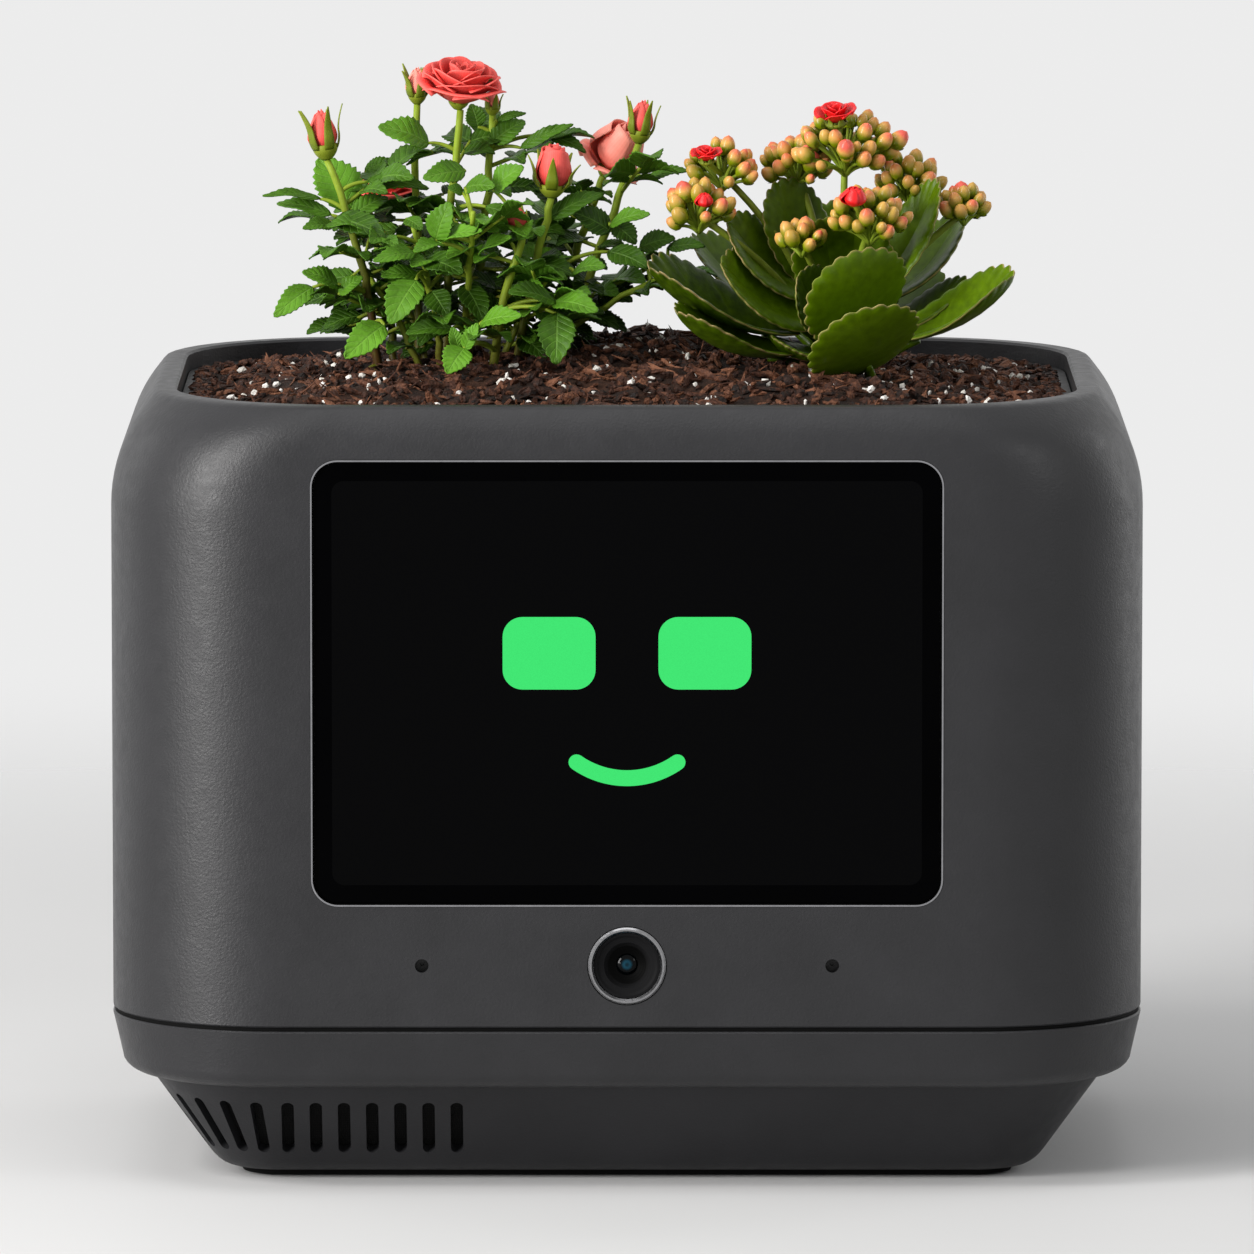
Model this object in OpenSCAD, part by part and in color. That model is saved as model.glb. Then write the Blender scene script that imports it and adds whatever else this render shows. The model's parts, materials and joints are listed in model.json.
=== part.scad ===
/* [Body] */
// Overall width of the body, side to side
body_w = 257; // [250:1:275]
// Overall depth of the body, front to back
body_d = 190; // [186:1:205]
// Radius of the upright corners
corner_r = 42; // [40:1:46]
// Height of the upper shell, seam to rim
shell_h = 153.8; // [151:0.2:170]
// Wall thickness of the upper shell
shell_wall = 3.2; // [2.8:0.1:3.6]

/* [Shoulder and rim] */
// Drop of the rounded shoulder on the two sides
side_drop = 28; // [26:1:30]
// Inset of the rim from the two sides
side_inset = 12; // [11:0.5:13]
// Drop of the rounded shoulder at front and back
front_drop = 12; // [11.5:0.5:14]
// Inset of the rim from front and back
front_inset = 6.5; // [6:0.5:7.5]
// Lean of the shoulder's straight part from upright, in degrees
shoulder_lean = 36; // [34:1:38]
// Rounding of the rim's outer edge
rim_round = 2.4; // [1.8:0.2:3]
// Flat width of the rim's top
rim_land = 3.5; // [3:0.5:5]
// Corner radius of the rim
rim_corner_r = 48; // [45:1:50]

/* [Skirt and base] */
// Height of the skirt band below the seam
skirt_h = 15.2; // [14.8:0.2:18]
// Inward taper of the skirt band over its straight part
skirt_taper = 2.4; // [1.5:0.1:3]
// Thickness of the seam gasket
seam_h = 1; // [0.8:0.1:1.5]
// Height of the sloped base
base_h = 24; // [23:0.5:28]
// Lean of the base wall from upright, in degrees
base_lean = 36; // [33:1:38]
// Inset of the base's top edge from the body side
base_inset = 9.5; // [9:0.5:11]
// Height of the rubber foot ring
foot_h = 2; // [1.5:0.5:4]

/* [Speaker slots] */
// Number of slots
slot_count = 12; // [7:1:12]
// Width of one slot
slot_w = 3.1; // [2.4:0.1:3.6]
// Length of one slot along the slope
slot_len = 17.4; // [13:0.2:18]
// Distance from slot to slot along the wall
slot_pitch = 7; // [6.2:0.1:7.2]
// Distance from the first slot to the start of the left front corner
slot_back = 44.2; // [42:0.1:46]

/* [Display] */
// Width of the display opening
display_w = 156.2; // [150:0.1:158]
// Distance from the rim down to the display opening
display_top = 12.6; // [12:0.1:16]
// Distance from the seam up to the display opening
display_bottom = 30.2; // [29.8:0.1:34]
// Corner radius of the display opening
display_r = 6.8; // [5:0.1:8]
// Width of the metal trim line around the glass
trim_w = 0.8; // [0.5:0.1:1.2]
// Thickness of the cover glass
glass_t = 1.4; // [1:0.1:1.6]
// Thickness of the display panel
panel_t = 4.5; // [3.5:0.1:5]

/* [Camera and microphones] */
// Height of camera and microphones above the seam
camera_up = 15.5; // [15:0.1:16]
// Radius of the camera's hole in the shell
camera_hole_r = 9.85; // [9.4:0.05:10.2]
// Radius of the lens
lens_r = 2.6; // [2.2:0.1:3]
// Distance of each microphone from the middle
mic_x = 50.7; // [45:0.1:56]
// Radius of a microphone hole
mic_r = 1.7; // [1.2:0.1:2]

/* [Planter] */
// Wall thickness of the lift-out basin
basin_wall = 2; // [1.6:0.1:2.4]
// Clearance between the tank's rim and the floor of the lift-out basin
basin_clear = 6.8; // [5:0.1:14]
// Drop of the soil's edge below the rim
soil_drop = 6; // [5:0.5:12]
// Rise of the soil's mound above its edge
soil_mound = 10; // [4:0.5:12]
// Height of the lumps in the soil
soil_lump_h = 2.7; // [0:0.1:4]
// Distance between the lumps in the soil
soil_lump_pitch = 28; // [20:1:40]
// Height of the water tank
tank_h = 44; // [38:1:46]
// Wall thickness of the water tank
tank_wall = 2; // [1.6:0.1:2.6]
// Radius of the water level float
float_r = 9; // [8:0.5:10]
// Rise of the water level float
float_rise = 18; // [12:1:18]

/* [Power button] */
// Radius of the power button
button_r = 3.6; // [3:0.1:3.6]
// Distance of the power button from the middle of the back
button_x = 24; // [20:1:30]
// Travel of the power button
button_travel = 0.8; // [0.5:0.1:1]

/* [Hidden] */
$fn = 64;

// Clearances
fit_gap = 0.1;      // glued and pressed pieces of one body
slide_gap = 0.3;    // pieces that lift or slide past each other
basin_gap = 0.5;    // basin wall in the shell's ledge
shaft_gap = 0.25;   // float on its post, button in its hole
head_gap = 0.3;     // screw head in its recess
edge_cut = 0.4;     // small edge cuts on the mouldings

// Heights of the stack, from the floor up
base_z = foot_h;
skirt_z = base_z + base_h;
seam_z = skirt_z + skirt_h;
shell_z = seam_z + seam_h;
rim_z = shell_z + shell_h;

// Half sizes and the shared centres of all upright corners
half_w = body_w / 2;
half_d = body_d / 2;
corner_x = half_w - corner_r;
corner_y = half_d - corner_r;

// Shell
ring_steps = 12;
seat_drop = 6.5;
ledge_w = 3;
ledge_t = 2.6;
flange_t = 3;
flange_reach = 26;
edge_round = 0.6;
open_inset = rim_land + edge_round;
open_w = half_w - side_inset - open_inset;
open_d = half_d - front_inset - open_inset;
open_r = rim_corner_r - open_inset;
inner_y = half_d - shell_wall;

// Skirt and base, as distances from the corner centres
base_top_r = corner_r - base_inset;
base_wall = 2.6;
base_wall_x = base_wall / cos(base_lean);
base_curve_h = 4;
base_lip_r = base_top_r - base_h * tan(base_lean) - 4.06;
cover_t = 2.5;
cover_r = base_lip_r - 0.2;
deck_t = 3;
deck_z = seam_z - deck_t;
skirt_wall = 2.6;
skirt_floor_t = 2.4;
skirt_round_h = 4.4;
skirt_bore_r = base_top_r - base_wall_x - 0.3;
gasket_inset = 0.8;
foot_inset = 0.6;
foot_inner_r = 1;
rib_z = base_z + 6;
rib_t = 2;
post_r = 4.5;

// Fasteners
screw_r = 1.5;
screw_hole_r = 1.7;
screw_pilot_r = 1.55;
screw_head_r = 2.8;
screw_head_h = 1.6;
small_screw_r = 1;
small_hole_r = 1.2;
small_pilot_r = 1.05;
small_head_r = 1.9;
small_head_h = 1.2;
board_screw_bite = 4;
camera_screw_bite = 4.4;
bracket_screw_bite = 2.4;
shell_screw_reach = 24;
shell_screw_at = [for (s = [-1, 1], t = [-1, 1]) [s * (corner_x + shell_screw_reach * cos(45)),
  t * (corner_y + shell_screw_reach * sin(45))]];

// Display stack, front to back
display_h = shell_h - display_top - display_bottom;
display_z = shell_z + display_bottom + display_h / 2;
recess_depth = 2.2;
recess_y = -half_d + recess_depth;
trim_proud = 0.15;
window_margin = 4.4;
panel_gap = 0.3;
panel_back_y = recess_y + panel_t;
bracket_t = 0.8;
bracket_back_y = panel_back_y + bracket_t;
boss_r = 3;
boss_x = display_w / 2 + 1.2;
boss_z = display_h / 2 - 1.2;
boss_at = [for (s = [-1, 1], t = [-1, 1]) [s * boss_x, t * boss_z]];
driver_w = 70;
driver_h = 34;
driver_t = 1.2;
driver_drop = 6;
driver_x = 10;
driver_z = display_z - display_h / 2 + driver_drop;
driver_chip = [14, 1, 12];
bracket_window = [90, 40, 6];
bracket_window_up = 20;

// Camera
camera_z = shell_z + camera_up;
bezel_gap = 0.25;
bezel_r = camera_hole_r - bezel_gap;
bezel_bore_r = bezel_r - 1.35;
bezel_flange_r = camera_hole_r + 2;
bezel_flange_t = 1.2;
bezel_proud = 0.5;
baffle_mouth_r = bezel_bore_r * 0.62;
barrel_len = 6;
camera_board_y = -inner_y + bezel_flange_t + barrel_len;
camera_board_t = 1.2;
camera_boss_x = 16;
camera_board_w = 2 * camera_boss_x + 9;
camera_board_h = 16;
camera_face_y = -half_d - bezel_proud;
bezel_len = shell_wall + bezel_proud;
camera_len = bezel_len + bezel_flange_t;
mic_board_w = 10;
mic_board_h = 8;
mic_board_t = 1;
mic_can_w = 4;
mic_can_h = 3;
mic_can_t = 1.1;

// Ribbons
ribbon_t = 0.3;
ribbon_w = 12;
ribbon_x = 32;
camera_ribbon_w = 8;
ribbon_slot_gap = 0.8;
ribbon_z = deck_z - 1.6;

// Main board and what sits on it
board_w = 120;
board_d = 60;
board_t = 1.6;
board_back = half_d - 11;
board_front = board_back - board_d;
board_top_z = deck_z - 6.6;
board_hole_inset = 4;
board_hole_at = [for (s = [-1, 1], y = [board_front + board_hole_inset, board_back - board_hole_inset])
  [s * (board_w / 2 - board_hole_inset), y]];
standoff_r = 3;
connector_h = 2;
connector_d = 4;
connector_side = 1.5;
display_ribbon_y = bracket_back_y + driver_t + connector_h;
camera_ribbon_y = camera_board_y + camera_board_t;
usb_x = -24;
usb_w = 8.94;
usb_h = 3.2;
usb_len = 13;
usb_wall = 0.35;
usb_bore = 6.5;
usb_tongue = [6.6, 6, 0.7];
usb_mouth_y = half_d - 3;
usb_z = board_top_z + usb_h / 2;
usb_hole_gap = 0.35;
button_flange = 1.2;
button_flange_t = 1.2;
button_sink = 1.2;
button_pin_r = 1.5;
button_pad_w = 14;
button_pad_t = 2.4;
button_z = (skirt_z + skirt_floor_t + deck_z) / 2;
button_seat_y = half_d - 6.4;
switch_d = 3.5;
plunger_len = 1;

// Battery
cell_r = 9.15;
cell_len = 65.2;
cell_x = 18;
cell_y = [14, 14 + 2 * cell_r + 0.8];
tray_floor = 1.4;
cell_z = base_z + cover_t + tray_floor + cell_r;

// Speaker, measured in the plane of the base wall
speaker_w = 42;
speaker_side = 2.5;
speaker_x = -(corner_x - speaker_w / 2 - speaker_side);
speaker_l = 16;
speaker_z = base_z + base_h * 0.52;
mesh_t = 0.6;
speaker_frame_t = 1.6;
cone_depth = 4;
magnet_h = 4.5;
slot_first = corner_x - slot_back;

// Water tank and float
tank_w = half_w - flange_reach - 1.5;
tank_d = half_d - flange_reach - 1.5;
tank_r = corner_r - flange_reach - 1.5;
tank_floor = 2;
float_side = 29;
float_back = 33.5;
float_x = tank_w - float_side;
float_y = tank_d - float_back;
float_h = 12;
float_post_r = 3;
float_z = seam_z + tank_floor + slide_gap;
clip_h = 2.5;
clip_z = float_z + float_h + float_rise + slide_gap;
magnet_t = 2;

// Basin and what it holds
seat_z = rim_z - seat_drop;
lip_gap = 0.4;
lip_w = open_w - lip_gap;
lip_d = open_d - lip_gap;
lip_r = open_r - lip_gap;
lip_t = 1.6;
lip_z = seat_z + slide_gap;
basin_w = open_w - ledge_w - basin_gap;
basin_d = open_d - ledge_w - basin_gap;
basin_r = open_r - ledge_w - basin_gap;
basin_floor_z = seam_z + tank_h + basin_clear;
basin_floor_t = 2;
soil_gap = 0.2;
soil_w = basin_w - basin_wall - soil_gap;
soil_d = basin_d - basin_wall - soil_gap;
soil_r = basin_r - basin_wall - soil_gap;
soil_bottom_z = basin_floor_z + basin_floor_t;
soil_edge_z = rim_z - soil_drop;
wick_r = 4;
wick_at = [[-48, -6], [34, -10]];
wick_top_z = soil_bottom_z + 8;
wick_bottom_z = seam_z + tank_floor + 1.5;
grommet_r = 7;
drain_r = 2.5;
drain_inset = 30.9;
drain_pitch = (basin_w - drain_inset) / 2;
drain_at = [for (i = [-2:2], t = [-1, 1]) [i * drain_pitch, t * (basin_d - drain_inset)]];
probe_w = 20;
probe_t = 1.6;
probe_h = 70;
probe_top_z = soil_edge_z - 8;
probe_y = basin_d - basin_wall - probe_t;
prong_gap = 6;
prong_len = 42;
contact_z = probe_top_z - 12;
contact_pitch = 6;
pad_t = 0.8;
pad_size = 4;
pin_r = 0.8;

// Plants: heights are measured from the rim
// Rose stems as base, control point and tip, and the kind and size of what the tip carries
rose_stems = [
  [[-46, 0, -8], [-46, 4, 30], [-42, -2, 66], "bloom", 10.5],
  [[-62, -4, -8], [-64, -8, 26], [-75.5, -8, 54], "bud", 4.4],
  [[-52, 8, -8], [-54, 12, 34], [-53, 6, 67], "bud", 3.2],
  [[-42, 8, -8], [-36, 12, 32], [-34, 8, 64], "bud", 2.6],
  [[-30, -4, -8], [-24, -8, 24], [-19, -12, 45], "bud", 5.2],
  [[-22, 4, -8], [-8, 10, 26], [3, 6, 57], "bud", 3.8],
  [[-28, 14, -8], [-14, 24, 24], [-5, 18, 50], "bloom", 8.5],
  [[-36, -8, -8], [-32, -16, 18], [-26, -20, 37], "bud", 3],
  [[-58, 14, -8], [-62, 22, 20], [-62, 20, 44], "bloom", 8]];
shoot_count = 9;
shoot_centre = [-42, 2, -8];
stem_leaf_at = [0.36, 0.58, 0.8];
// Kalanchoe leaves as foot, tip, width and the way that the upper face looks
kalanchoe_at = [54, 0];
kalanchoe_leaves_at = [
  [[60, -8, 4], [54, -28, 35], 30, [-0.43, 0.8, 0.43]],
  [[61.5, -18.5, -1.5], [56.5, -45.5, 20.5], 30, [-0.32, 0.63, 0.68]],
  [[48, -4, 4], [3.5, -23, 26], 24, [0.45, -0.25, 0.9]], [[47, -8, 1], [11, -35, 16], 18, [0.35, -0.1, 0.9]],
  [[62, -4, 3], [99, -20, 24], 20, [-0.5, -0.3, 0.85]],
  [[60, -1, 12], [79.6, -5, 48.5], 14, [-0.7, -0.65, 0.3]],
  [[50, -4, 8], [22, -16, 28], 21, [0.4, -0.55, 0.8]], [[50, -1, 14], [24, -6, 38], 19, [0.5, -0.6, 0.7]],
  [[60, 3, 6], [88, 2, 21], 22, [-0.2, -0.2, 1]], [[52, 3, 14], [37, 2, 48], 20, [0.5, -0.8, 0.3]],
  [[54, -2, 12], [49, -9, 40], 21, [0.2, -0.9, 0.3]], [[57, -2, 16], [62, -8, 38], 16, [-0.2, -0.9, 0.3]],
  [[52, 5, 4], [32, 37, 26], 26, [0, -0.5, 0.85]], [[58, 5, 4], [73, 38, 25], 26, [0, -0.5, 0.85]],
  [[54, 5, 10], [54, 26, 40], 24, [0, -0.85, 0.5]], [[48, 4, 6], [16, 22, 31], 22, [0.4, -0.3, 0.85]],
  [[60, 4, 10], [86, 20, 36], 22, [-0.5, -0.3, 0.8]], [[50, -5, 3], [36, -20, 9], 13, [0, -0.4, 0.9]],
  [[53, -6, 8], [42, -18, 26], 17, [0.2, -0.75, 0.6]]];
// Kalanchoe flower heads as place, radius and number of buds
kalanchoe_heads = [
  [[55, -2, 55], 11, 17], [[24, -4, 50], 8, 11], [[18, -12, 40], 8, 11], [[43, 6, 50], 8, 11],
  [[61, -18, 38], 9, 13], [[71, 6, 46], 8, 11], [[85, 0, 40], 6, 8], [[44, -14, 33], 5.5, 7]];
bud_r = 1.9;
// Open kalanchoe flowers, as the head that carries each one, its offset from the head and its radius
kalanchoe_blooms_at = [
  [0, [-2.5, -4, 10.5], 5.4], [1, [-4, -5, 5.5], 4], [2, [1.5, -7, 5], 2.3], [4, [-4, -8, 8.5], 3.3]];

// General functions
function lerp(a, b, t) = a + (b - a) * t;
function curve_at(stem, t) = pow(1 - t, 2) * stem[0] + 2 * t * (1 - t) * stem[1] + t * t * stem[2];
function noise(i) = let(v = sin(i * 78.233 + 12.9898) * 43758.5453) v - floor(v);

// Inset of the shoulder at a distance below the rim, as an arc, a straight and the rim's rounding
function shoulder_inset(below, drop, inset) =
  let(round_h = rim_round * (1 - sin(shoulder_lean)),
    main_w = inset - rim_round * cos(shoulder_lean),
    arc_r = ((drop - round_h) * sin(shoulder_lean) - main_w * cos(shoulder_lean)) / (1 - cos(shoulder_lean)),
    up = drop - below,
    arc_h = arc_r * sin(shoulder_lean))
  below >= drop ? 0
  : below < round_h ? inset - rim_round * sqrt(max(0, 1 - pow(1 - below / rim_round, 2)))
  : up <= arc_h ? arc_r - sqrt(arc_r * arc_r - up * up)
  : arc_r * (1 - cos(shoulder_lean)) + (up - arc_h) * tan(shoulder_lean);

// One level of the shell: half width, half depth, corner radius and height, moved in by a wall
function shell_ring(below, wall) =
  let(side = shoulder_inset(below, side_drop, side_inset),
    front = shoulder_inset(below, front_drop, front_inset),
    r = lerp(corner_r, rim_corner_r, side / side_inset))
  [half_w - side - wall, half_d - front - wall, r - wall, rim_z - below];

function ring_points(ring, steps) =
  [for (q = [0:3], i = [0:steps]) let(t = 90 * (q + i / steps),
      sx = (q == 0 || q == 3) ? 1 : -1,
      sy = q < 2 ? 1 : -1)
    [sx * (ring[0] - ring[2]) + ring[2] * cos(t), sy * (ring[1] - ring[2]) + ring[2] * sin(t), ring[3]]];

function band_faces(m, n, closed) =
  [for (j = [0:m - (closed ? 1 : 2)], i = [0:n - 1]) let(k = (j + 1) % m, h = (i + 1) % n)
    each [[j * n + i, k * n + h, j * n + h], [j * n + i, k * n + i, k * n + h]]];

// Hollow solid through levels that run up the outside, over the rim and down the inside
module hollow_loft(rings, steps) {
  polyhedron(points = [for (ring = rings) each ring_points(ring, steps)],
    faces = band_faces(len(rings), 4 * (steps + 1), true));
}

module rounded_rect(w, d, r) {
  square([w - 2 * r, d], center = true);
  square([w, d - 2 * r], center = true);
  for (sx = [-1, 1], sy = [-1, 1])
    translate([sx * (w / 2 - r), sy * (d / 2 - r)]) circle(r);
}

// Sweeps a profile around the body; the profile's x runs outward from the corner centres
module around_body() {
  for (q = [0:3]) {
    sx = (q == 0 || q == 3) ? 1 : -1;
    sy = q < 2 ? 1 : -1;
    translate([sx * corner_x, sy * corner_y, 0]) rotate([0, 0, 90 * q]) rotate_extrude(angle = 90) children();
  }
  for (s = [0, 180]) {
    rotate([0, 0, s]) translate([corner_x, corner_y, 0])
      rotate([90, 0, 0]) linear_extrude(2 * corner_y) children();
    rotate([0, 0, 90 + s]) translate([corner_y, corner_x, 0])
      rotate([90, 0, 0]) linear_extrude(2 * corner_x) children();
  }
}

// Plate with the body's corners, reaching a distance out from the corner centres
module body_plate(reach, t) {
  linear_extrude(t) rounded_rect(2 * (corner_x + reach), 2 * (corner_y + reach), reach);
}

// Turns a shape that is drawn lying down so that its thickness runs from front to back
module upright(y, z) {
  translate([0, y, z]) rotate([-90, 0, 0]) mirror([0, 1, 0]) children();
}

// Screw with its head at the bottom and its shank pointing up
module screw(r, head_r, head_h, len) {
  difference() {
    union() {
      cylinder(r = head_r, h = head_h);
      cylinder(r = r, h = head_h + len);
    }
    translate([0, 0, -0.01]) cylinder(r = head_r * 0.5, h = head_h * 0.6, $fn = 6);
  }
}

// Thin pointed blade along x with a droop
module blade(len, width, t, droop) {
  outline = [[0, 0], [0.45, -0.5], [1, 0], [0.45, 0.5]];
  n = len(outline);
  rim = [for (p = outline) [p[0] * len, p[1] * width, -droop * p[0] * p[0] * len]];
  middle = [0.5 * len, 0, -droop * 0.25 * len];
  polyhedron(points = concat(rim, [middle + [0, 0, t], middle - [0, 0, t]]),
    faces = [for (i = [0:n - 1]) let(h = (i + 1) % n) each [[h, i, n], [i, h, n + 1]]]);
}

// Body pieces
module foot_ring() {
  outer = base_lip_r - foot_inset;
  color([0.04, 0.04, 0.045]) around_body() polygon([[foot_inner_r, 0], [outer - 3, 0], [outer - 0.8, 0.5],
    [outer, base_z], [foot_inner_r, base_z]]);
}

module base_cover() {
  color([0.09, 0.09, 0.095]) difference() {
    translate([0, 0, base_z]) body_plate(cover_r, cover_t);
    for (s = [-1, 1], t = [-1, 1]) translate([s * corner_x, t * corner_y, base_z - 0.01]) {
      cylinder(r = screw_head_r + head_gap, h = screw_head_h);
      cylinder(r = screw_hole_r, h = cover_t + 1);
    }
  }
}

module base_screws() {
  color([0.6, 0.6, 0.62]) for (s = [-1, 1], t = [-1, 1])
    translate([s * corner_x, t * corner_y, base_z]) screw(screw_r, screw_head_r, screw_head_h, base_h + 8);
}

function base_r(z) = base_top_r - (skirt_z - z) * tan(base_lean);

base_outline = concat([[base_top_r, skirt_z]],
  [for (i = [0:6]) let(t = i / 6,
      p0 = [base_r(base_z + base_curve_h), base_z + base_curve_h],
      p1 = [base_r(base_z), base_z],
      p2 = [base_lip_r + 0.4, base_z])
    pow(1 - t, 2) * p0 + 2 * t * (1 - t) * p1 + t * t * p2],
  [[base_lip_r, base_z], [base_lip_r, base_z + cover_t + 0.3],
    [base_r(base_z + cover_t + 0.3) - base_wall_x, base_z + cover_t + 0.3],
    [base_top_r - base_wall_x, skirt_z]]);

// Puts a shape on the base wall's mid height, s along the wall from the middle of the front to the left
module on_base_wall(s, inward) {
  z = speaker_z;
  r = base_r(z);
  turn = s <= corner_x ? 0 : (s - corner_x) / r * 180 / PI;
  at = s <= corner_x ? [-s, -corner_y - r, z] : [-corner_x - r * sin(turn), -corner_y - r * cos(turn), z];
  translate(at) rotate([0, 0, -turn]) rotate([base_lean - 90, 0, 0]) translate([0, 0, inward]) children();
}

module base_housing() {
  color([0.13, 0.13, 0.135]) difference() {
    union() {
      around_body() polygon(base_outline);
      for (s = [-1, 1], t = [-1, 1]) translate([s * corner_x, t * corner_y, 0]) {
        translate([0, 0, base_z + cover_t]) cylinder(r = post_r, h = base_h - cover_t);
        rotate([0, 0, s > 0 ? 0 : 180]) rotate([90, 0, 0]) linear_extrude(rib_t, center = true)
          polygon([[post_r - 1, rib_z], [base_r(rib_z) - 1, rib_z],
            [base_top_r - 2, skirt_z - 1], [post_r - 1, skirt_z - 1]]);
      }
    }
    for (i = [0:slot_count - 1]) on_base_wall(slot_first + slot_pitch * i, 0)
      linear_extrude(3 * base_wall, center = true) {
        square([slot_w, slot_len - slot_w], center = true);
        for (s = [-1, 1]) translate([0, s * (slot_len - slot_w) / 2]) circle(slot_w / 2);
      }
    for (s = [-1, 1], t = [-1, 1]) translate([s * corner_x, t * corner_y, 0])
      cylinder(r = screw_hole_r, h = skirt_z + 1);
  }
}

// Speaker
module speaker_mesh() {
  color([0.02, 0.02, 0.02]) intersection() {
    around_body() polygon([for (p = [[0, 0], [-mesh_t, 0], [-mesh_t, 1], [0, 1]])
      let(z = lerp(speaker_z - slot_len * 0.45, speaker_z + slot_len * 0.45, p[1]))
      [base_r(z) - base_wall_x - fit_gap + p[0], z]]);
    translate([-half_w, -half_d, 0])
      cube([half_w - slot_first + slot_w * 1.5, corner_r - rib_t / 2 - slide_gap, skirt_z]);
  }
}

module speaker_oval(w, l, t) {
  linear_extrude(t) {
    square([w - l, l], center = true);
    for (s = [-1, 1]) translate([s * (w - l) / 2, 0]) circle(l / 2);
  }
}

// Depth of the speaker's front behind the outside of the base wall
speaker_in = base_wall + (fit_gap + mesh_t) * cos(base_lean);

module speaker_frame() {
  color([0.12, 0.12, 0.12]) on_base_wall(-speaker_x, speaker_in) difference() {
    union() {
      speaker_oval(speaker_w, speaker_l, speaker_frame_t);
      speaker_oval(speaker_w - 6, speaker_l - 4, speaker_frame_t + cone_depth + 1);
    }
    translate([0, 0, -0.01]) speaker_oval(speaker_w - 8, speaker_l - 6, speaker_frame_t + cone_depth);
    cylinder(r = 3, h = speaker_frame_t + cone_depth + 2);
  }
}

module speaker_cone() {
  w = speaker_w - 8 - 2 * fit_gap;
  l = speaker_l - 6 - 2 * fit_gap;
  color([0.2, 0.2, 0.2]) on_base_wall(-speaker_x, speaker_in) {
    translate([0, 0, speaker_frame_t]) speaker_oval(w, l, 0.8);
    translate([0, 0, speaker_frame_t]) cylinder(r = 2.6, h = cone_depth + 1);
  }
}

module speaker_magnet() {
  color([0.5, 0.5, 0.52]) on_base_wall(-speaker_x, speaker_in + speaker_frame_t + cone_depth + 1)
    cylinder(r = speaker_l / 2 - 2.5, h = magnet_h);
}

// Battery and electronics
module battery_tray() {
  w = cell_len + 4;
  d = cell_y[1] - cell_y[0] + 2 * cell_r + 3;
  middle = (cell_y[0] + cell_y[1]) / 2;
  color([0.1, 0.1, 0.1]) translate([cell_x, middle, base_z + cover_t]) difference() {
    translate([-w / 2, -d / 2, 0]) cube([w, d, tray_floor + cell_r]);
    for (y = cell_y) translate([-cell_len / 2 - fit_gap, y - middle, tray_floor + cell_r])
      rotate([0, 90, 0]) cylinder(r = cell_r + fit_gap, h = cell_len + 2 * fit_gap);
  }
}

module battery_cells() {
  color([0.15, 0.35, 0.6]) for (y = cell_y) translate([cell_x - cell_len / 2, y, cell_z]) rotate([0, 90, 0]) {
    cylinder(r = cell_r, h = cell_len - 1.2);
    cylinder(r = 2.7, h = cell_len);
  }
}

module main_board() {
  color([0.05, 0.3, 0.15]) difference() {
    translate([-board_w / 2, board_front, board_top_z - board_t]) cube([board_w, board_d, board_t]);
    for (p = board_hole_at) translate([p[0], p[1], 0]) cylinder(r = small_hole_r, h = seam_z);
  }
}

// Packages on the board as place, size and height
chips_at = [[-38, 34, 22, 18, 2.6], [-6, 30, 16, 13, 2.4], [14, 40, 10, 10, 1.2], [44, 34, 9, 9, 1.4],
  [-30, 56, 6, 5, 1.1], [44, 54, 12, 8, 4], [22, 56, 7, 7, 1]];

module board_chips() {
  color([0.2, 0.2, 0.21]) translate([0, board_front, board_top_z]) {
    for (c = chips_at) translate([c[0] - c[2] / 2, c[1] - c[3] / 2 - 12, 0]) cube([c[2], c[3], c[4]]);
    for (r = [[ribbon_x, ribbon_w], [0, camera_ribbon_w]])
      translate([r[0] - r[1] / 2 - connector_side, 1, 0])
        cube([r[1] + 2 * connector_side, connector_d, connector_h]);
  }
}

module board_screws() {
  color([0.6, 0.6, 0.62]) for (p = board_hole_at)
    translate([p[0], p[1], board_top_z - board_t - small_head_h])
      screw(small_screw_r, small_head_r, small_head_h, board_t + board_screw_bite);
}

module stadium(w, h) {
  square([w - h, h], center = true);
  for (s = [-1, 1]) translate([s * (w - h) / 2, 0]) circle(h / 2);
}

module usb_socket() {
  color([0.75, 0.75, 0.77]) translate([usb_x, 0, 0]) difference() {
    upright(usb_mouth_y - usb_len, usb_z) linear_extrude(usb_len) stadium(usb_w, usb_h);
    difference() {
      upright(usb_mouth_y - usb_bore, usb_z) linear_extrude(usb_bore + 0.5)
        stadium(usb_w - 2 * usb_wall, usb_h - 2 * usb_wall);
      translate([0, usb_mouth_y - 4, usb_z]) cube(usb_tongue, center = true);
    }
  }
}

module power_switch() {
  color([0.3, 0.3, 0.3]) translate([button_x, board_back, 0]) {
    translate([-3, -switch_d, board_top_z]) cube([6, switch_d, 4.5]);
    translate([0, 0, button_z]) rotate([-90, 0, 0]) cylinder(r = 1, h = plunger_len);
  }
}

// Skirt band with the deck that carries shell and tank
skirt_outline = concat([[corner_r - edge_cut, seam_z], [corner_r, seam_z - edge_cut]],
  [for (i = [0:6]) let(t = 15 * i, foot = base_top_r + 0.5)
    [foot + (corner_r - skirt_taper - foot) * cos(t), skirt_z + skirt_round_h * (1 - sin(t))]],
  [[skirt_bore_r, skirt_z], [skirt_bore_r, skirt_z + skirt_floor_t],
    [corner_r - skirt_taper - skirt_wall - 1, skirt_z + skirt_floor_t],
    [corner_r - skirt_taper - skirt_wall, skirt_z + skirt_round_h],
    [corner_r - skirt_wall, seam_z - 0.8], [corner_r - skirt_wall - 0.6, seam_z]]);

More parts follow.
